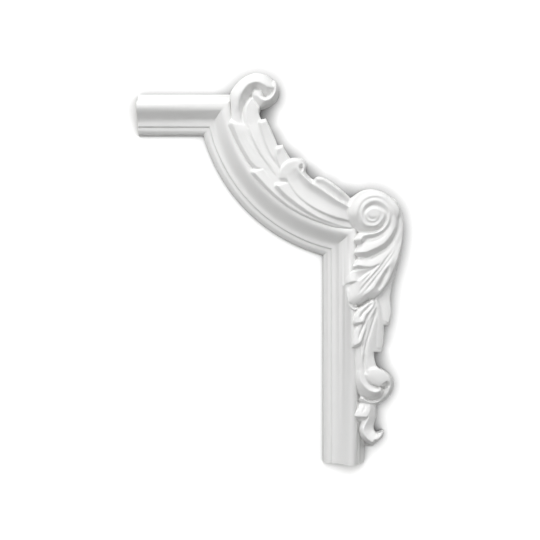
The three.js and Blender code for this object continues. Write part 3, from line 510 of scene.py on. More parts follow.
# Leaves that peel off the volute and hang over the leg, then the drop, lower scroll and foot
legStrips = {
    "tipOne": {"runs": [0.3, [1, 1, 1, 1, 0.5], 0.8, 0.6], "crest": 0.45, "stations": [
        [386.5, 205.5, 392, 206.2, 23.6, 24.2, 23.8], [387.3, 211.5, 391.6, 212, 23.2, 24.2, 23.8],
        [386.4, 217.5, 391, 217.5, 22, 24, 23.2], [385.3, 221.8, 389.8, 223.3, 20.5, 23.8, 22.4],
        [382.9, 226, 385.9, 228.6, 19, 23.6, 22], [379.2, 229.5, 380.9, 232.8, 18.5, 23.5, 22],
        [374.1, 231.7, 375.2, 235.1, 18.3, 23.4, 22], [368, 232.5, 368, 235.9, 18.3, 23.3, 22],
        [363.5, 232.6, 363.5, 238, 18.6, 23.4, 22.8], [359.5, 233.8, 361.5, 240.3, 19, 23.6, 23.8],
        [356.3, 236.6, 358.5, 240.5, 18, 21.6, 22.8], [353.8, 239.7, 354.6, 240.4, 17.6, 18.2, 18.8]]},
    "tipTwo": {"runs": [0.6, [1, 1, 1, 1, 0.5], 0.8, 0.5], "stations": [
        [391.5, 206.5, 397, 209, 23.4, 23.2, 21.6], [391.7, 213, 396.6, 215.6, 23.4, 23.5, 22.2],
        [391.2, 218.5, 396.3, 221.5, 22.6, 23.3, 22.6], [390.4, 223.5, 395.3, 226.5, 21.8, 22.8, 22.6],
        [387.2, 229, 392.6, 232.3, 21, 22.6, 22.9], [382.5, 233.2, 388.6, 238.3, 20.2, 22.4, 23.2],
        [377, 236.4, 383.3, 243.7, 19.8, 22.4, 23.5], [371.5, 238.2, 377, 247.2, 19.6, 22.3, 23.8],
        [366.5, 239.2, 370.5, 250.1, 19.6, 22.3, 24], [363.5, 242, 365.3, 252, 19.8, 22.3, 24],
        [361.5, 246, 361.5, 252.2, 20.3, 22.2, 23.6], [358, 248.8, 358, 252.5, 19.4, 21, 22.4],
        [354.6, 251.6, 355, 252.9, 17.8, 18.4, 19]]},
    "tipThree": {"runs": [0.5, [1, 1, 1, 1, 0.5], 0.8, 0.5], "stations": [
        [398.6, 211, 401.4, 210.4, 19.6, 19, 17.6], [398.6, 226, 403.4, 229, 19.6, 19.6, 18.6],
        [395.3, 235.5, 399.6, 242.4, 19, 19.8, 19.2], [391, 242.8, 395, 250, 18.6, 20, 20.4],
        [385.5, 248, 389.5, 257, 18.4, 20.2, 21.2], [379.5, 251.5, 383, 262.5, 18.3, 20.4, 21.7],
        [373, 254.8, 376.5, 265, 18.2, 20.5, 22], [367.5, 257.8, 369.7, 266.6, 18.2, 20.7, 22.2],
        [362, 258.4, 363.6, 266, 18.3, 21, 22.6], [358, 259.8, 358.5, 265.2, 18.8, 21, 22.8],
        [354.5, 262.8, 355, 266.4, 17.9, 19.4, 20.8], [351.4, 266.9, 352, 267.8, 17.3, 17.8, 18.1]]},
    "tipFour": {"runs": [0.5, 0.9, 0.8, 0.4], "crest": 0.65, "stations": [
        [376.5, 265.5, 377.5, 268, 21.5, 21.5, 21.6], [372, 267.5, 372.5, 271.2, 21.2, 20.4, 21.4],
        [367, 269.2, 367.5, 275, 20.8, 19.4, 20.8], [362.5, 270, 362.5, 279, 20.6, 18.9, 20.6],
        [358.5, 270.2, 358.7, 280.8, 20.4, 19.2, 20.8], [354, 271, 355, 281, 19.4, 20.4, 21.4],
        [350, 273.2, 351, 281.8, 18.4, 20.2, 21], [346.8, 277.5, 347.8, 283, 17, 18.4, 19],
        [345.3, 282.6, 345.8, 283.8, 16, 16.6, 17]]},
    "tipFive": {"runs": [0.5, 0.2, 0.5, 0.3], "crest": 0.55, "stations": [
        [400.8, 229, 403.8, 232.4, 18.4, 18.6, 17.6], [399, 241, 401.2, 250.6, 19.2, 19.8, 18.4],
        [395, 249.5, 397.4, 262.8, 20.3, 20.8, 18.6], [389.5, 257, 393.2, 271.5, 21.2, 21, 18.8],
        [383, 262.8, 389, 281, 21.6, 21.4, 19.2], [377, 267, 384, 288, 21.8, 21.6, 19],
        [370, 272.5, 378.5, 295, 21.8, 21.8, 18.4], [363.5, 277.5, 373, 298.3, 21.4, 21.8, 17.6],
        [358, 281.2, 366.5, 301.2, 20.9, 21.6, 17.2], [353, 283.8, 360.5, 304.8, 19.4, 21.2, 17.2],
        [348.7, 288, 356.2, 305.6, 18, 20.6, 17.6], [347, 294, 352.6, 304.8, 17.4, 19.8, 18.4],
        [347.4, 299, 349.8, 302.5, 18, 19.2, 19.2]]},
    "lobeRim": {"runs": [0.3, 0.25, 0.3, 0.3], "stations": [
        [346.6, 285, 349.5, 286.6, 15.6, 16.6, 17.4], [345.6, 291, 348.4, 291.6, 15.8, 18.2, 19.2],
        [345.4, 297, 348, 297.5, 15.4, 18.6, 20], [345.8, 303.5, 349.2, 303.3, 15.4, 18.2, 19.6],
        [348.2, 309.7, 351.4, 307, 15, 17.8, 19.6], [352.6, 313.8, 354.4, 308.8, 14.6, 17.4, 19.4],
        [357.2, 311.9, 358, 308.2, 14.6, 17.2, 18.8]]},
    "outerFlap": {"runs": [0.5, 3.0, 0.5, 0.3],
        "a": [[396, 262], [391, 274], [386, 285], [380.5, 294], [376.5, 300], [379, 310], [382.3, 319.5]],
        "b": [
            [401.6, 256.8], [397.8, 270.8], [393.6, 283.6], [391.5, 295], [391.8, 305], [392.1, 313.4],
            [389.2, 323.6]],
        "heights": [[16, 15.5, 14.6], [15.6, 15.2, 14.2], [14.8, 14.8, 14], [14.6, 15, 14.2]]},
    "lowerFlap": {"runs": [0.5, 3.0, 0.5, 0.3],
        "a": [[376, 298], [376.5, 315], [375.5, 330], [373.5, 346.5]],
        "b": [[382.5, 312], [383.3, 325], [383.3, 335], [382.3, 344], [380.8, 349]],
        "heights": [[16.5, 16, 14], [17, 16.5, 14.5], [17, 16.5, 15], [16, 16, 15]]},
    "dropTipOne": {"runs": [0.5, 0.8, 0.6, 0.6], "stations": [
        [373.4, 300.4, 374.6, 302.5, 17.4, 17.6, 17.6], [368.2, 303.9, 372.4, 307.4, 19.2, 19.2, 19.6],
        [362.4, 308.4, 368, 312.5, 19.9, 19.8, 20.3], [358.4, 312, 365.2, 316.4, 20.2, 20.4, 20.9],
        [355.4, 317, 363.9, 321.2, 20.3, 21.2, 21.8], [353.6, 321, 359, 322.6, 19.6, 21, 21.8],
        [352.5, 323.7, 353.2, 324.2, 18.2, 18.6, 19]]},
    "dropTipTwo": {"runs": [0.5, 0.8, 0.6, 0.6], "stations": [
        [374.6, 304, 376.3, 307, 17.2, 17.4, 17.4], [369.5, 311, 373.2, 313, 19, 19.3, 19.3],
        [365.8, 318, 369.6, 320, 19.3, 19.6, 19.6], [361, 324.5, 366.3, 329, 19.5, 19.8, 20.1],
        [356, 329.8, 363, 336.5, 19.8, 20.3, 20.9], [353.5, 337.2, 360.6, 342.2, 19.8, 21, 21.6],
        [352.1, 342.5, 356.4, 344.8, 19.2, 20.8, 21.4], [351.1, 347.2, 351.8, 347.9, 18, 18.4, 18.8]]},
    "dropStem": {"runs": [2, 3, 0.9, 0.5], "stations": [
        [374, 306, 379, 307, 15.6, 15.6, 15], [368, 320, 378, 320, 18.6, 18.4, 17],
        [364, 335, 376, 335, 18.6, 18.6, 17], [360, 350, 373.8, 349, 18.6, 18.5, 16.8],
        [359, 362, 373, 356, 18.4, 18.5, 16.6], [359.2, 372, 379, 368.5, 18, 18.5, 17]]},
    "lowerFloor": {"runs": [0.15, 0.15, 0.15, 0.15],
        "a": [[360, 364], [360.5, 385], [361, 404]],
        "b": [[376, 366], [384, 385], [375, 404.5]],
        "heights": [[14, 14, 12], [13, 13, 11], [9, 9, 8]]},
    "lowerRim": {"runs": [1.15, 0.3, 0.5, 0.5], "stations": [
        [359.5, 366, 365, 366.5, 18, 18, 17.5], [359.7, 376.8, 366.5, 375, 19.4, 18.8, 17.4],
        [362.5, 383.7, 368.9, 380.2, 20.4, 19, 17], [367.1, 388.7, 371.9, 384.4, 21, 19.2, 17],
        [371.7, 391.3, 375, 386.7, 21.4, 19.4, 17.2], [376, 392.1, 378.4, 387.8, 21.4, 19.6, 17.6],
        [379.5, 391.2, 380.4, 387.4, 20.4, 19, 17.8], [381.2, 389.6, 381.4, 388, 18.8, 18.6, 18]]},
    "lowerCheek": {"runs": [1.2, 0.8, 0.5, 0.3], "crest": 0.42, "stations": [
        [384.5, 370, 380, 375, 17, 19.5, 20.6], [390, 375, 384.6, 379.5, 15.5, 19.6, 20.8],
        [392.8, 380.5, 386.6, 383.8, 14.4, 18.8, 18.8], [392.9, 386, 386, 388, 14, 18.6, 17],
        [391, 392, 383.5, 392, 12.6, 17.4, 15], [386.5, 397.8, 379.5, 396, 11, 15.2, 13.6],
        [381.3, 402.3, 374.8, 399, 10, 13, 12.6], [376.8, 404.9, 370, 401, 9, 11.6, 12]]},
    "lowerLip": {"runs": [0.4, 0.5, 0.5, 0.5], "stations": [
        [358.8, 400.6, 361.4, 397.8, 12.5, 13.6, 14.8], [365.6, 403.4, 368.4, 401.6, 12, 13.4, 14.6],
        [371.8, 404.8, 374.4, 402.4, 11.4, 12.8, 14], [376.8, 404.9, 379.4, 401, 10, 12, 13.2]]},
    "footTip": {"runs": [0.5, 0.7, 0.4, 0.75], "stations": [
        [359.4, 404, 371, 404.2, 13, 13, 12.4], [358.2, 407.6, 371, 407.5, 14.8, 15.4, 14.4],
        [355.7, 411.8, 369.6, 412.8, 16.4, 17.2, 16.2], [354, 414.2, 368.2, 415.4, 16.9, 17.9, 17],
        [352.8, 415.7, 366.8, 417.2, 17, 18.4, 17.6]]},
    "footCurl": {"runs": [0.45, 0.6, 0.5, 0.4], "stations": [
        [370.5, 404, 376.2, 404.6, 12.6, 11.6, 10], [370, 411, 376, 410, 15.2, 13.1, 11],
        [368.4, 418, 375.6, 417, 16.8, 14.2, 11.8], [364.6, 425, 373.6, 423.5, 18.2, 15.2, 12.4],
        [363, 430, 373.1, 428, 19.2, 16.1, 13.2], [364.4, 435.2, 374, 430.6, 19.8, 16.8, 14],
        [368.4, 439.6, 375.6, 431.8, 20, 17.4, 14.8], [373.3, 442.4, 377.4, 432.4, 20, 17.6, 15],
        [374.2, 440.2, 378, 432.2, 19.2, 17.2, 15], [379, 439, 380.2, 431.2, 18.2, 16.8, 15.4],
        [383.4, 431.5, 383.4, 430.4, 16, 16, 15.5]]},
}

# Flutes, creases and fine ridges of the leaves
carvedLines = {
    "neckRidge": {"width": 0.9, "depth": -0.5, "fade": [0.15, 0.4], "points": [
        [251.6, 98.6], [247.6, 104.5], [246.4, 112], [247.2, 121], [250.4, 131.5], [255.6, 143.5]]},
    "neckFlute": {"width": 1.5, "depth": 0.6, "points": [
        [242.5, 108], [242.8, 117], [245.6, 128], [250, 139.5], [255, 149]]},
    "leafFlute": {"width": 1.3, "depth": 0.5, "points": [
        [242.6, 129.5], [246.5, 140], [252, 150.5], [258.5, 160]]},
    "leafCrease": {"width": 0.8, "depth": 0.7, "fade": [0.2, 0.2], "points": [
        [249.8, 134.5], [255.3, 147.1], [264.2, 160.4], [275.3, 172.9]]},
    "leafHollow": {"width": 1.4, "depth": 0.7, "fade": [0.2, 0.2], "points": [
        [258.7, 127], [260.9, 139.3], [266.4, 151.6], [275.3, 163.2], [281, 169.8]]},
    "tipRidgeOne": {"width": 0.9, "depth": -0.6, "fade": [0.15, 0.35], "points": [
        [361.5, 241], [366.4, 239.8], [371.8, 239.4], [377.5, 237.5], [383.3, 233.7], [388.2, 229],
        [391, 225]]},
    "tipCreaseOne": {"width": 0.7, "depth": 0.6, "points": [
        [365, 243.3], [371.8, 242], [377.5, 240.1], [383.3, 236.3], [387.1, 232.1]]},
    "tipRidgeThree": {"width": 0.8, "depth": -0.6, "height": 19, "fade": [0.2, 0.3], "points": [
        [368.2, 259], [375.8, 255.4], [383.5, 251.3], [388.6, 247.1], [392.7, 242.6]]},
    "tipCreaseThree": {"width": 0.8, "depth": 0.6, "height": 19, "fade": [0.25, 0.3], "points": [
        [365.6, 260.9], [373.3, 258.4], [380.9, 253.8], [386, 250.2], [390.6, 245.6]]},
    "fanOne": {"width": 0.9, "depth": 1.1, "points": [
        [383, 259.9], [378.4, 264.5], [373.8, 269.1], [368.2, 275.7], [363.6, 280.8], [359, 287.4]]},
    "fanTwo": {"width": 1.1, "depth": 1.5, "fade": [0.3, 0.2], "points": [
        [395.7, 245.1], [391.1, 252.8], [386, 259.6], [380.6, 267], [374.8, 274], [368.4, 281],
        [362.6, 288], [356.4, 295.6]]},
    "fanThree": {"width": 1.1, "depth": 1.4, "fade": [0.3, 0.25], "points": [
        [397.2, 247], [392.7, 255.3], [387, 263], [380.9, 271.2], [375.8, 277.8], [370.7, 284.5],
        [365.6, 290], [359.5, 296.1]]},
    "fanFour": {"width": 1.1, "depth": -0.6, "points": [
        [389.6, 262], [384, 272], [376.5, 283.5], [368.5, 292], [357.5, 300.5]]},
    "fanFive": {"width": 2.6, "depth": 2.6, "fade": [0.4, 0.25], "points": [
        [391, 263.5], [388, 269.5], [384.3, 276.5], [381, 283], [377, 291.5]]},
    "fanPocket": {"width": 1.3, "depth": 4.2, "fade": [0.12, 0.25], "height": 17, "points": [
        [354, 305.6], [359.3, 305.8], [364, 303], [368, 300.2], [371.6, 298]]},
    "fanRim": {"width": 0.9, "depth": -0.7, "points": [
        [399, 250], [397, 260.5], [393.5, 271], [390.3, 280]]},
    "dropOne": {"width": 1.3, "depth": 1.7, "fade": [0.25, 0.2], "points": [
        [373.6, 302], [368.2, 308.2], [363.7, 312.6], [361.2, 316.5], [359.6, 320.4]]},
    "dropTwo": {"width": 1.0, "depth": 1.5, "fade": [0.25, 0.2], "points": [
        [374, 307.4], [368.2, 316.5], [362.8, 328.1], [359.5, 336.4], [358.2, 342.2]]},
    "dropThree": {"width": 0.8, "depth": 1.0, "points": [
        [374.9, 307.4], [368.2, 322.3], [365.3, 332.7], [362.4, 343], [361.2, 352], [360.2, 366]]},
    "stemCrease": {"width": 1.1, "depth": 1.2, "fade": [0.4, 0.12], "points": [
        [364.6, 352], [364.3, 362], [365.6, 370], [367.8, 375.4]]},
    "dropFour": {"width": 1.0, "depth": 1.1, "fade": [0.2, 0.2], "points": [
        [378, 308], [374, 320], [370, 333], [366.5, 345], [365, 356], [365.5, 367], [369, 375]]},
    "lowerOne": {"width": 1.1, "depth": 2.2, "height": 14, "fade": [0.4, 0.35], "points": [
        [361.4, 394.8], [364.1, 396.7], [369.4, 399.8], [374, 400.5], [378.6, 399], [382, 395.6]]},
    "lowerTwo": {"width": 0.9, "depth": 1.2, "height": 15, "fade": [0.4, 0.35], "points": [
        [366.4, 395.2], [370, 396.9], [374, 397.5], [377.9, 396.7], [381, 394]]},
    "footOne": {"width": 1.1, "depth": 1.0, "points": [
        [368, 404], [365.5, 409], [362, 414]]},
}

# Hollows, with the width of the slope round each
carvedPatches = {
    "curlPocket": {"depth": 1.5, "rim": 1.5, "height": 23, "points": [
        [299.4, 169.5], [300.4, 165], [302.3, 163], [304, 166], [303.6, 170]]},
    "lowerPocket": {"depth": 3.2, "rim": 1.2, "height": 19, "points": [
        [381.3, 386], [383.4, 383.6], [385.8, 381.6], [388.4, 382], [389.4, 384.6], [388.4, 387.2],
        [386.5, 388.4], [385.4, 387], [383.6, 385.6]]},
}

# Round swellings: centre, half length, half width, turn in degrees, height at the rim and rise
carvedDomes = {
    "lowerBall": {"centre": [378.6, 377.6], "half": [13.4, 9], "turn": 22, "rim": 18.6, "rise": 2.7},
    "curlLobe": {"centre": [257.4, 94], "half": [5.4, 4.6], "turn": 0, "rim": 18.6, "rise": 1.9},
}

# Volute, read round its centre: turn 0 points down, then left, up and right. Each row of the
# table holds radius and height of the knots from the eye out to the edge, an eighth turn apart.
volute = {
    "centre": [374.0, 213.5],
    "centreHeight": 24.0,
    "eyeHeight": 24.2,
    "reach": 34,
    "leastGap": 0.2,  # between two knots
    "rows": [
        [[1, 24.2], [2, 24.2], [3.2, 24.1], [5.6, 22.9], [7.2, 23.5], [9.2, 22.6], [12.2, 23.4],
         [18.2, 16.2], [18.6, 15.8], [19, 15.4], [19.4, 15]],
        [[1, 24.2], [2, 24.2], [4.2, 24.1], [6.3, 23.1], [8.2, 23.9], [10, 22.9], [13.9, 23.6],
         [18, 19.6], [20, 18], [22, 16.4], [23.8, 15.2]],
        [[1, 24.2], [2.5, 24.2], [4.5, 24.2], [5.6, 24.1], [6.8, 24.3], [9.8, 23.2], [12.3, 24.2],
         [14.8, 23.4], [17, 23.9], [22, 22.7], [26, 19.5]],
        [[1, 24.2], [3, 24.2], [4, 24.2], [4.6, 24.2], [5.2, 24.2], [8.1, 22.6], [12.2, 24.8],
         [15.6, 23.6], [16.8, 24.2], [22.8, 21.8], [27.2, 18]],
        [[1, 24.2], [2, 24.2], [3, 24.2], [4, 24.2], [4.9, 24.2], [8.3, 22.4], [13, 25], [15.8, 23.8],
         [18, 24.5], [21.8, 21.6], [24.6, 17]],
        [[1, 24.2], [2, 24.2], [3, 24.2], [4, 24.2], [5.9, 24.2], [8.9, 22.6], [13.8, 25], [16.6, 24],
         [18.8, 24.3], [21.6, 22.6], [24.2, 18.6]],
        [[1, 24.2], [2.5, 24.2], [4, 24.2], [6.5, 23.8], [9.6, 24.3], [13, 23.3], [16, 24.1],
         [17.8, 23.8], [20, 23.8], [23.4, 23], [26.4, 20.6]],
        [[2, 24.2], [3.5, 24.2], [5.2, 24.1], [7.6, 23.2], [10, 23.8], [14.2, 20.8], [15, 20], [16, 19],
         [17, 18], [18, 17], [19, 15]],
        [[3.2, 24.1], [5.6, 22.9], [7.2, 23.5], [9.2, 22.6], [12.2, 23.4], [18.2, 16.2], [18.6, 15.8],
         [19, 15.4], [19.2, 15.3], [19.3, 15.1], [19.4, 15]],
    ],
}


# Smooth reading between the rows of a table
def betweenRows(rows, at):
    last = len(rows) - 1
    i = np.clip(at.astype(int), 0, last - 1)
    f = (at - i)[..., None, None]
    before, start, end = rows[np.maximum(i - 1, 0)], rows[i], rows[i + 1]
    after = rows[np.minimum(i + 2, last)]
    return 0.5 * (2 * start + (end - before) * f + (2 * before - 5 * start + 4 * end - after) * f * f
                  + (3 * start - before - 3 * end + after) * f * f * f)


def addVolute(field, v):
    centre = wallSpot(np.array(v["centre"]), np.array(v["centreHeight"]))
    window = gridWindow(np.array([centre]), v["reach"])
    dx, dy = spotX[window] - centre[0], spotY[window] - centre[1]
    radius = np.hypot(dx, dy) / (1 - v["centreHeight"] / relief["viewDistance"])
    turn = (np.arctan2(-dx, dy) / (2 * math.pi)) % 1.0
    knots = betweenRows(np.array(v["rows"]), turn * (len(v["rows"]) - 1))
    height = np.full(radius.shape, v["eyeHeight"])
    last = knots.shape[-2] - 2
    for k in range(last + 1):
        inner, outer = knots[..., k, 0], knots[..., k + 1, 0]
        u = np.clip((radius - inner) / np.maximum(outer - inner, v["leastGap"]), 0, 1)
        ease = halfEased(u) if k < last else 1 - np.sqrt(1 - u * u)  # the edge rolls over
        height = height + (knots[..., k + 1, 1] - knots[..., k, 1]) * ease
    past = np.clip(radius - knots[..., -1, 0], 0, None)
    raiseTo(field, window, np.where(past > 0, height - past / relief["steepRun"], height))


# Outline of the whole carving on the wall, clockwise from the arm's outer edge. Each run is a
# smooth line from where the one before it ended, with a corner between the two.
outlineRuns = [
    [[233, 87.5], [240, 79.9], [249, 74.3], [257, 72.8], [265, 74.6], [273, 80.5], [278, 88], [278.6, 94],
     [275.5, 101], [269, 105.8], [260.5, 108.9]],
    [[259.2, 113], [260, 118.5], [261.3, 121.3]],
    [[265.7, 120.7]],
    [[270, 129.5], [274, 138.5], [277.4, 147.2]],
    [[282.3, 146.5]],
    [[285, 152.5], [289.8, 160]],
    [[295, 159.2], [301, 160], [306, 164.5], [305.3, 173], [309, 178], [312.8, 181]],
    [[316, 178.6], [322, 179], [330, 183.5], [340, 190.8], [349.5, 199]],
    [[360, 192], [372, 188.6], [385, 192], [395, 201.5], [401.5, 218], [401.8, 240], [395.5, 270],
     [389.6, 295], [390.3, 313], [387.8, 325]],
    [[383, 325]],
    [[383.3, 335], [382.6, 345], [380.5, 352]],
    [[373, 351.3]],
    [[373.3, 358], [376, 365.5], [382, 369.3], [389, 374], [393.2, 383], [391.2, 391.8], [386, 398.5],
     [376.3, 405]],
    [[376, 415], [373.2, 427], [376.5, 432.8], [383.3, 430.5]],
    [[382, 438.5], [377, 444.3], [373, 448]],
    [[362, 446.5], [352, 440], [352, 420], [350, 402], [345, 350], [336, 300], [336, 250], [300, 235],
     [240, 190], [222, 140], [226.5, 125.5], [230.6, 122], [230.8, 108], [229.5, 96]],
]


def carvingOutline(runs):
    points = []
    corner = runs[-1][-1]
    for run in runs:
        line = [corner] + run
        length = np.hypot(*np.diff(np.array(line), axis=0).T).sum()
        count = max(2, round(length / relief["outlineSpacing"]) + 1)
        points.extend(smoothCurve(line, count)[:-1])
        corner = run[-1]
    return wallSpot(np.array(points), np.full(len(points), relief["outlineHeight"]))


def carvedField():
    field = np.full(spotX.shape, lowest)
    for strip in [*bendStrips.values(), *legStrips.values()]:
        addStrip(field, strip)
    addVolute(field, volute)
    for dome in carvedDomes.values():
        addDome(field, dome)
    for patch in carvedPatches.values():
        addPatch(field, patch)
    for line in carvedLines.values():
        addLine(field, line)
    outline = carvingOutline(outlineRuns)
    closed = np.vstack([outline, outline[:1]])
    away = np.full(field.shape, far)
    for start in range(0, len(outline), relief["outlineSpan"]):
        part = closed[start:start + relief["outlineSpan"] + 1]
        window = gridWindow(part, relief["borders"]["outline"])
        away[window] = np.minimum(away[window], nearestOnLine(part, spotX[window], spotY[window])[0])
    inside = insideOutline(outline, spotX, spotY)
    field = blurField(np.maximum(field, 0), relief["softness"] / relief["gridStep"])
    rounding = relief["edgeRound"]
    kept = np.sqrt(np.clip(rounding ** 2 - np.clip(rounding - away, 0, rounding) ** 2, 0, None))
    return field - np.where(inside, rounding - kept, rounding), inside | (away < relief["brim"]), outline


heightField, kept, outlinePoints = carvedField()
print("stage: carving laid out,", heightField.shape, "points")


# Closed solid under the height field, a little wider than the outline
def makeCarving():
    cell = kept[:-1, :-1] & kept[1:, :-1] & kept[:-1, 1:] & kept[1:, 1:]
    corner = np.zeros(kept.shape, bool)
    for down in (0, 1):
        for right in (0, 1):
            corner[down:down + cell.shape[0], right:right + cell.shape[1]] |= cell
    index = np.full(kept.shape, -1)
    index[corner] = np.arange(corner.sum())
    xs = bendCentre + (spotX[corner] - relief["drawnBendCentre"][0])
    zs = bendCentre + (relief["drawnBendCentre"][1] - spotY[corner])
    front = np.stack([xs, -np.maximum(heightField[corner], relief["leastHeight"]), zs], 1)
    back = np.stack([xs, np.full(len(xs), backing), zs], 1)
    count = len(front)
    upperLeft, upperRight = index[:-1, :-1], index[:-1, 1:]
    lowerLeft, lowerRight = index[1:, :-1], index[1:, 1:]
    a, b, c, d = upperLeft[cell], upperRight[cell], lowerRight[cell], lowerLeft[cell]
    quads = [np.stack([a, d, c, b], 1), np.stack([a, b, c, d], 1) + count]
    openSides = {
        (-1, 0): (upperRight, upperLeft),
        (1, 0): (lowerLeft, lowerRight),
        (0, -1): (upperLeft, lowerLeft),
        (0, 1): (lowerRight, upperRight),
    }
    padded = np.pad(cell, 1)
    for (down, right), (starts, ends) in openSides.items():
        beside = padded[1 + down:1 + down + cell.shape[0], 1 + right:1 + right + cell.shape[1]]
        start, end = starts[cell & ~beside], ends[cell & ~beside]
        quads.append(np.stack([end, start, start + count, end + count], 1))
    thing = meshObject("carving", np.vstack([front, back]) / 1000, np.vstack(quads).tolist())
    faceOutward(thing)
    return thing


def makeOutlinePrism():
    centre = relief["drawnBendCentre"]
    flat = [[bendCentre + x - centre[0], bendCentre + centre[1] - y] for x, y in outlinePoints]
    return ringSolid("outline", [[[x, depth, z] for x, z in flat] for depth in relief["cutDepths"]])


# Block in the wall's place, which leaves the back flat
def makeWallBlock():
    reach, depth = 900, 20
    square = [(-reach, -reach), (reach, -reach), (reach, reach), (-reach, reach)]
    return ringSolid("behind", [[[x, y, z] for x, z in square] for y in (0, depth)])


def combine(main, other, operation):
    change = main.modifiers.new("join", "BOOLEAN")
    change.operation = operation
    change.solver = "MANIFOLD"
    change.object = other
    bpy.context.view_layer.update()
    shaped = bpy.data.meshes.new_from_object(main.evaluated_get(bpy.context.evaluated_depsgraph_get()))
    main.modifiers.clear()
    main.data = shaped
    bpy.data.objects.remove(other)


def makeCorner():
    solid = makeCarving()
    print("stage: carving meshed,", len(solid.data.polygons), "faces")
    combine(solid, makeOutlinePrism(), "INTERSECT")
    print("stage: carving cut to its outline,", len(solid.data.polygons), "faces")
    combine(solid, mouldingObject, "UNION")
    combine(solid, makeWallBlock(), "DIFFERENCE")
    solid.name = "cornerCasting"
    solid.data.name = "cornerCasting"
    solid.data.shade_smooth()
    solid.data.set_sharp_from_angle(angle=math.radians(relief["sharpAngle"]))
    return solid


corner = makeCorner()
print("stage: corner joined,", sum(len(face.vertices) - 2 for face in corner.data.polygons), "triangles")


# White primer over pale foam. Reaches and depths in metres, sizes in cycles a metre.
finish = {
    "colour": (0.815, 0.815, 0.81),
    "roughness": 0.52,
    "roughnessSpread": 0.12,
    "mottleSize": 55.0,
    "mottleShare": 0.03,
    "grainSize": 850.0,
    "grainShare": 0.015,
    # painted shade in creases: reach, grey colour, share and samples of the ambient occlusion darkening
    "paintedCreaseShadeReach": 0.004,
    "paintedCreaseShadeColour": (0.56, 0.555, 0.535),
    "paintedCreaseShadeShare": 0.45,
    "paintedCreaseShadeSamples": 12,
    "peelSize": 1400.0,
    "peelDepth": 0.000018,
    "waveSize": 90.0,
    "waveDepth": 0.0001,
    "foamColour": (0.69, 0.66, 0.57),
    "foamShade": (0.42, 0.39, 0.31),
    "foamShadeShare": 0.25,
    "foamRoughness": 0.85,
    "poreSize": 800.0,
    "poreDepth": 0.00022,
    "backFacing": 0.7,
    "backFrom": -0.0008,
    "sawnFacing": -0.95,
    "sawnBeyond": {0: -0.1215, 2: -0.263},  # the arm's end along X and the leg's end along Z
    "oversprayContrast": 5.0,
    "oversprayShare": 0.6,
}


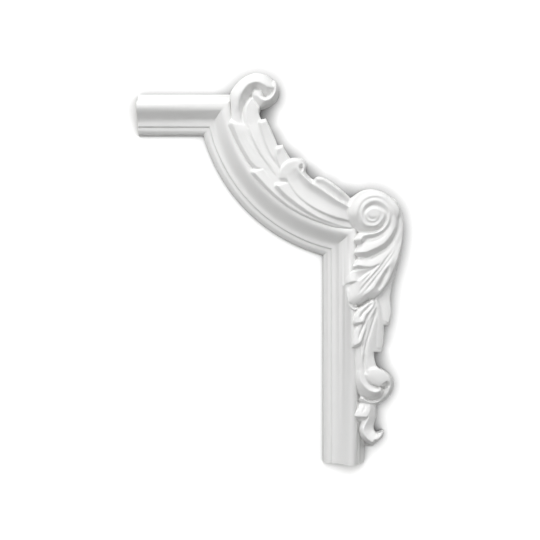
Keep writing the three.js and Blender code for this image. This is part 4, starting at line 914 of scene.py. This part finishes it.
# Casting primed white: mottled satin primer, painted shade darkening the creases, bare foam behind and at
# the sawn ends
def primedFoamMaterial(f):
    material = bpy.data.materials.new("primedFoam")
    material.use_nodes = True
    nodes = material.node_tree.nodes
    links = material.node_tree.links
    shader = nodes["Principled BSDF"]
    place = nodes.new("ShaderNodeTexCoord").outputs

    def feed(socket, value):
        if isinstance(value, bpy.types.NodeSocket):
            links.new(value, socket)
        else:
            socket.default_value = value

    def maths(operation, *values):
        node = nodes.new("ShaderNodeMath")
        node.operation = operation
        for socket, value in zip(node.inputs, values):
            feed(socket, value)
        return node.outputs[0]

    def times(first, second):
        return maths("MULTIPLY", first, second)

    def noise(size, detail):
        node = nodes.new("ShaderNodeTexNoise")
        feed(node.inputs["Scale"], size)
        feed(node.inputs["Detail"], detail)
        feed(node.inputs["Vector"], place["Object"])
        return node.outputs["Fac"]

    def mixed(share, first, second):
        node = nodes.new("ShaderNodeMix")
        node.data_type = "RGBA"
        for socket, value in zip((node.inputs[0], node.inputs[6], node.inputs[7]), (share, first, second)):
            feed(socket, value)
        return node.outputs[2]

    def parts(vector):
        node = nodes.new("ShaderNodeSeparateXYZ")
        feed(node.inputs[0], vector)
        return node.outputs

    spot = parts(place["Object"])
    facing = parts(place["Normal"])
    mottle = noise(f["mottleSize"], 5)
    grain = noise(f["grainSize"], 2)
    uneven = maths("SUBTRACT", mottle, 0.5)

    # Bare foam: the back, with primer misted over parts of it, and the sawn ends
    turned = maths("GREATER_THAN", facing[1], f["backFacing"])
    back = times(turned, maths("GREATER_THAN", spot[1], f["backFrom"]))
    bare = back
    for axis, beyond in f["sawnBeyond"].items():
        turned = maths("LESS_THAN", facing[axis], f["sawnFacing"])
        bare = maths("MAXIMUM", bare, times(turned, maths("LESS_THAN", spot[axis], beyond)))
    misted = maths("MAXIMUM", times(uneven, f["oversprayContrast"]), 0.0)
    overspray = times(back, maths("MINIMUM", misted, 1.0))
    bare = maths("SUBTRACT", bare, times(overspray, f["oversprayShare"]))

    # Painted shade: the base colour is darkened towards grey in creases, by ambient occlusion
    paintedShadeOcclusion = nodes.new("ShaderNodeAmbientOcclusion")
    paintedShadeOcclusion.only_local = True
    paintedShadeOcclusion.samples = f["paintedCreaseShadeSamples"]
    feed(paintedShadeOcclusion.inputs["Distance"], f["paintedCreaseShadeReach"])
    paintedCreaseShade = times(maths("SUBTRACT", 1.0, paintedShadeOcclusion.outputs["AO"]), f["paintedCreaseShadeShare"])
    dim = maths("ADD", times(mottle, f["mottleShare"]), times(grain, f["grainShare"]))
    primer = mixed(dim, (*f["colour"], 1), (0, 0, 0, 1))
    primerWithPaintedCreaseShade = mixed(paintedCreaseShade, primer, (*f["paintedCreaseShadeColour"], 1))
    foam = mixed(times(grain, f["foamShadeShare"]), (*f["foamColour"], 1), (*f["foamShade"], 1))
    feed(shader.inputs["Base Color"], mixed(bare, primerWithPaintedCreaseShade, foam))
    satin = maths("MULTIPLY_ADD", uneven, f["roughnessSpread"], f["roughness"])
    rough = maths("MULTIPLY_ADD", bare, f["foamRoughness"] - f["roughness"], satin)
    feed(shader.inputs["Roughness"], rough)

    pores = nodes.new("ShaderNodeTexVoronoi")
    feed(pores.inputs["Scale"], f["poreSize"])
    feed(pores.inputs["Vector"], place["Object"])
    skin = times(times(pores.outputs["Distance"], f["poreDepth"]), bare)
    skin = maths("MULTIPLY_ADD", noise(f["peelSize"], 3), f["peelDepth"], skin)
    skin = maths("MULTIPLY_ADD", noise(f["waveSize"], 2), f["waveDepth"], skin)
    bump = nodes.new("ShaderNodeBump")
    feed(bump.inputs["Distance"], 1.0)
    feed(bump.inputs["Height"], skin)
    feed(shader.inputs["Normal"], bump.outputs["Normal"])
    return material


corner.data.materials.clear()
corner.data.materials.append(primedFoamMaterial(finish))
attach(corner, "root")
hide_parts("moulding_corner")
print("stage: finish applied")


# Wall behind the corner, floor below it, and lights, in metres and watts. The wall has its own
# lights, so that it stays white while the relief keeps its shade.
studio = {
    "wallSize": 3.0,
    "wallGap": 0.0002,
    "wallColour": (0.9, 0.9, 0.9),
    # painted shadow on the wall round the corner: reach, strength and samples of the ambient occlusion
    # darkening
    "paintedShadowReach": 0.02,
    "paintedShadowStrength": 1.6,
    "paintedShadowSamples": 16,
    "floorHeight": -0.75,
    "floorDepth": 3.0,
    "floorColour": (0.35, 0.35, 0.345),
    "skyStrength": 0.1,
    "cornerLights": {
        "key": {"place": (0, -1.05, 2.45), "aim": (0.02, 0, -0.05), "size": 1.1, "power": 36.5},
        "left": {"place": (-1.2, -1.1, 0.8), "aim": (0.02, 0, -0.05), "size": 0.8, "power": 18.5},
        "right": {"place": (1.2, -1.1, 0.8), "aim": (0.02, 0, -0.05), "size": 0.8, "power": 8.0},
        "front": {"place": (0, -1.7, 0.1), "aim": (0.02, 0, -0.05), "size": 0.8, "power": 5.8},
        "rear": {"place": (0.5, 1.4, 0.9), "aim": (0, 0, -0.1), "size": 1.2, "power": 45.0},
    },
    "wallLights": {
        "wallFront": {"place": (0, -2.5, -0.07), "aim": (0.02, 0, -0.07), "size": 0.8, "power": 53.7},
        "wallLeft": {"place": (-0.7, -2.2, 0.65), "aim": (0.02, 0, -0.07), "size": 1.4, "power": 17.6},
        "wallTop": {"place": (0, -2.0, 1.3), "aim": (0.02, 0, -0.07), "size": 1.4, "power": 11.0},
    },
}


def plainMaterial(name, colour):
    material = bpy.data.materials.new(name)
    material.use_nodes = True
    nodes = material.node_tree.nodes
    nodes.clear()
    diffuse = nodes.new("ShaderNodeBsdfDiffuse")
    diffuse.inputs["Color"].default_value = (*colour, 1)
    output = nodes.new("ShaderNodeOutputMaterial")
    material.node_tree.links.new(diffuse.outputs[0], output.inputs["Surface"])
    return material, diffuse, output


# Wall with a painted contact shadow, its colour darkened close to the corner by ambient occlusion, and
# clear from behind
def wallMaterial(s):
    material, diffuse, output = plainMaterial("paleWall", s["wallColour"])
    nodes = material.node_tree.nodes
    links = material.node_tree.links
    # Painted shadow: the wall's colour is darkened by ambient occlusion near the corner
    paintedShadeOcclusion = nodes.new("ShaderNodeAmbientOcclusion")
    paintedShadeOcclusion.samples = s["paintedShadowSamples"]
    paintedShadeOcclusion.inputs["Distance"].default_value = s["paintedShadowReach"]
    paintedShadowPower = nodes.new("ShaderNodeMath")
    paintedShadowPower.operation = "POWER"
    paintedShadowPower.inputs[1].default_value = s["paintedShadowStrength"]
    wallWithPaintedShadow = nodes.new("ShaderNodeVectorMath")
    wallWithPaintedShadow.operation = "SCALE"
    wallWithPaintedShadow.inputs[0].default_value = s["wallColour"]
    links.new(paintedShadeOcclusion.outputs["AO"], paintedShadowPower.inputs[0])
    links.new(paintedShadowPower.outputs[0], wallWithPaintedShadow.inputs["Scale"])
    links.new(wallWithPaintedShadow.outputs[0], diffuse.inputs["Color"])
    clear = nodes.new("ShaderNodeBsdfTransparent")
    mix = nodes.new("ShaderNodeMixShader")
    links.new(nodes.new("ShaderNodeNewGeometry").outputs["Backfacing"], mix.inputs[0])
    links.new(diffuse.outputs[0], mix.inputs[1])
    links.new(clear.outputs[0], mix.inputs[2])
    links.new(mix.outputs[0], output.inputs["Surface"])
    return material


def makeStage(s):
    half, low, gap, depth = s["wallSize"] / 2, s["floorHeight"], s["wallGap"], s["floorDepth"]
    wallCorners = [(-half, gap, low), (half, gap, low), (half, gap, half), (-half, gap, half)]
    floorCorners = [(-half, -depth, low), (half, -depth, low), (half, depth, low), (-half, depth, low)]
    wall = meshObject("wall", wallCorners, [(0, 1, 2, 3)])
    floor = meshObject("floor", floorCorners, [(0, 1, 2, 3)])
    wall.data.materials.append(wallMaterial(s))
    floor.data.materials.append(plainMaterial("paleFloor", s["floorColour"])[0])
    wall.visible_diffuse = False
    return wall, floor


def addSoftLight(name, setup):
    data = bpy.data.lights.new(name, "AREA")
    data.shape = "DISK"
    data.size = setup["size"]
    data.energy = setup["power"]
    lamp = bpy.data.objects.new(name, data)
    lamp.location = setup["place"]
    lamp.rotation_euler = (lamp.location - Vector(setup["aim"])).to_track_quat("Z", "Y").to_euler()
    lamp.visible_camera = False
    bpy.context.collection.objects.link(lamp)
    return lamp


def lightOnly(name, things, lights):
    lit = bpy.data.collections.new(name)
    for thing in things:
        lit.objects.link(thing)
    for lightName, setup in lights.items():
        addSoftLight(lightName, setup).light_linking.receiver_collection = lit


wallPlane, floorPlane = makeStage(studio)
lightOnly("allButWall", [corner, floorPlane], studio["cornerLights"])
lightOnly("wallOnly", [wallPlane], studio["wallLights"])
world = bpy.data.worlds.new("sky")
world.use_nodes = True
sky = world.node_tree.nodes["Background"].inputs
sky["Color"].default_value = (1, 1, 1, 1)
sky["Strength"].default_value = studio["skyStrength"]
bpy.context.scene.world = world
bpy.context.scene.view_settings.view_transform = "Standard"
print("stage: studio lit")
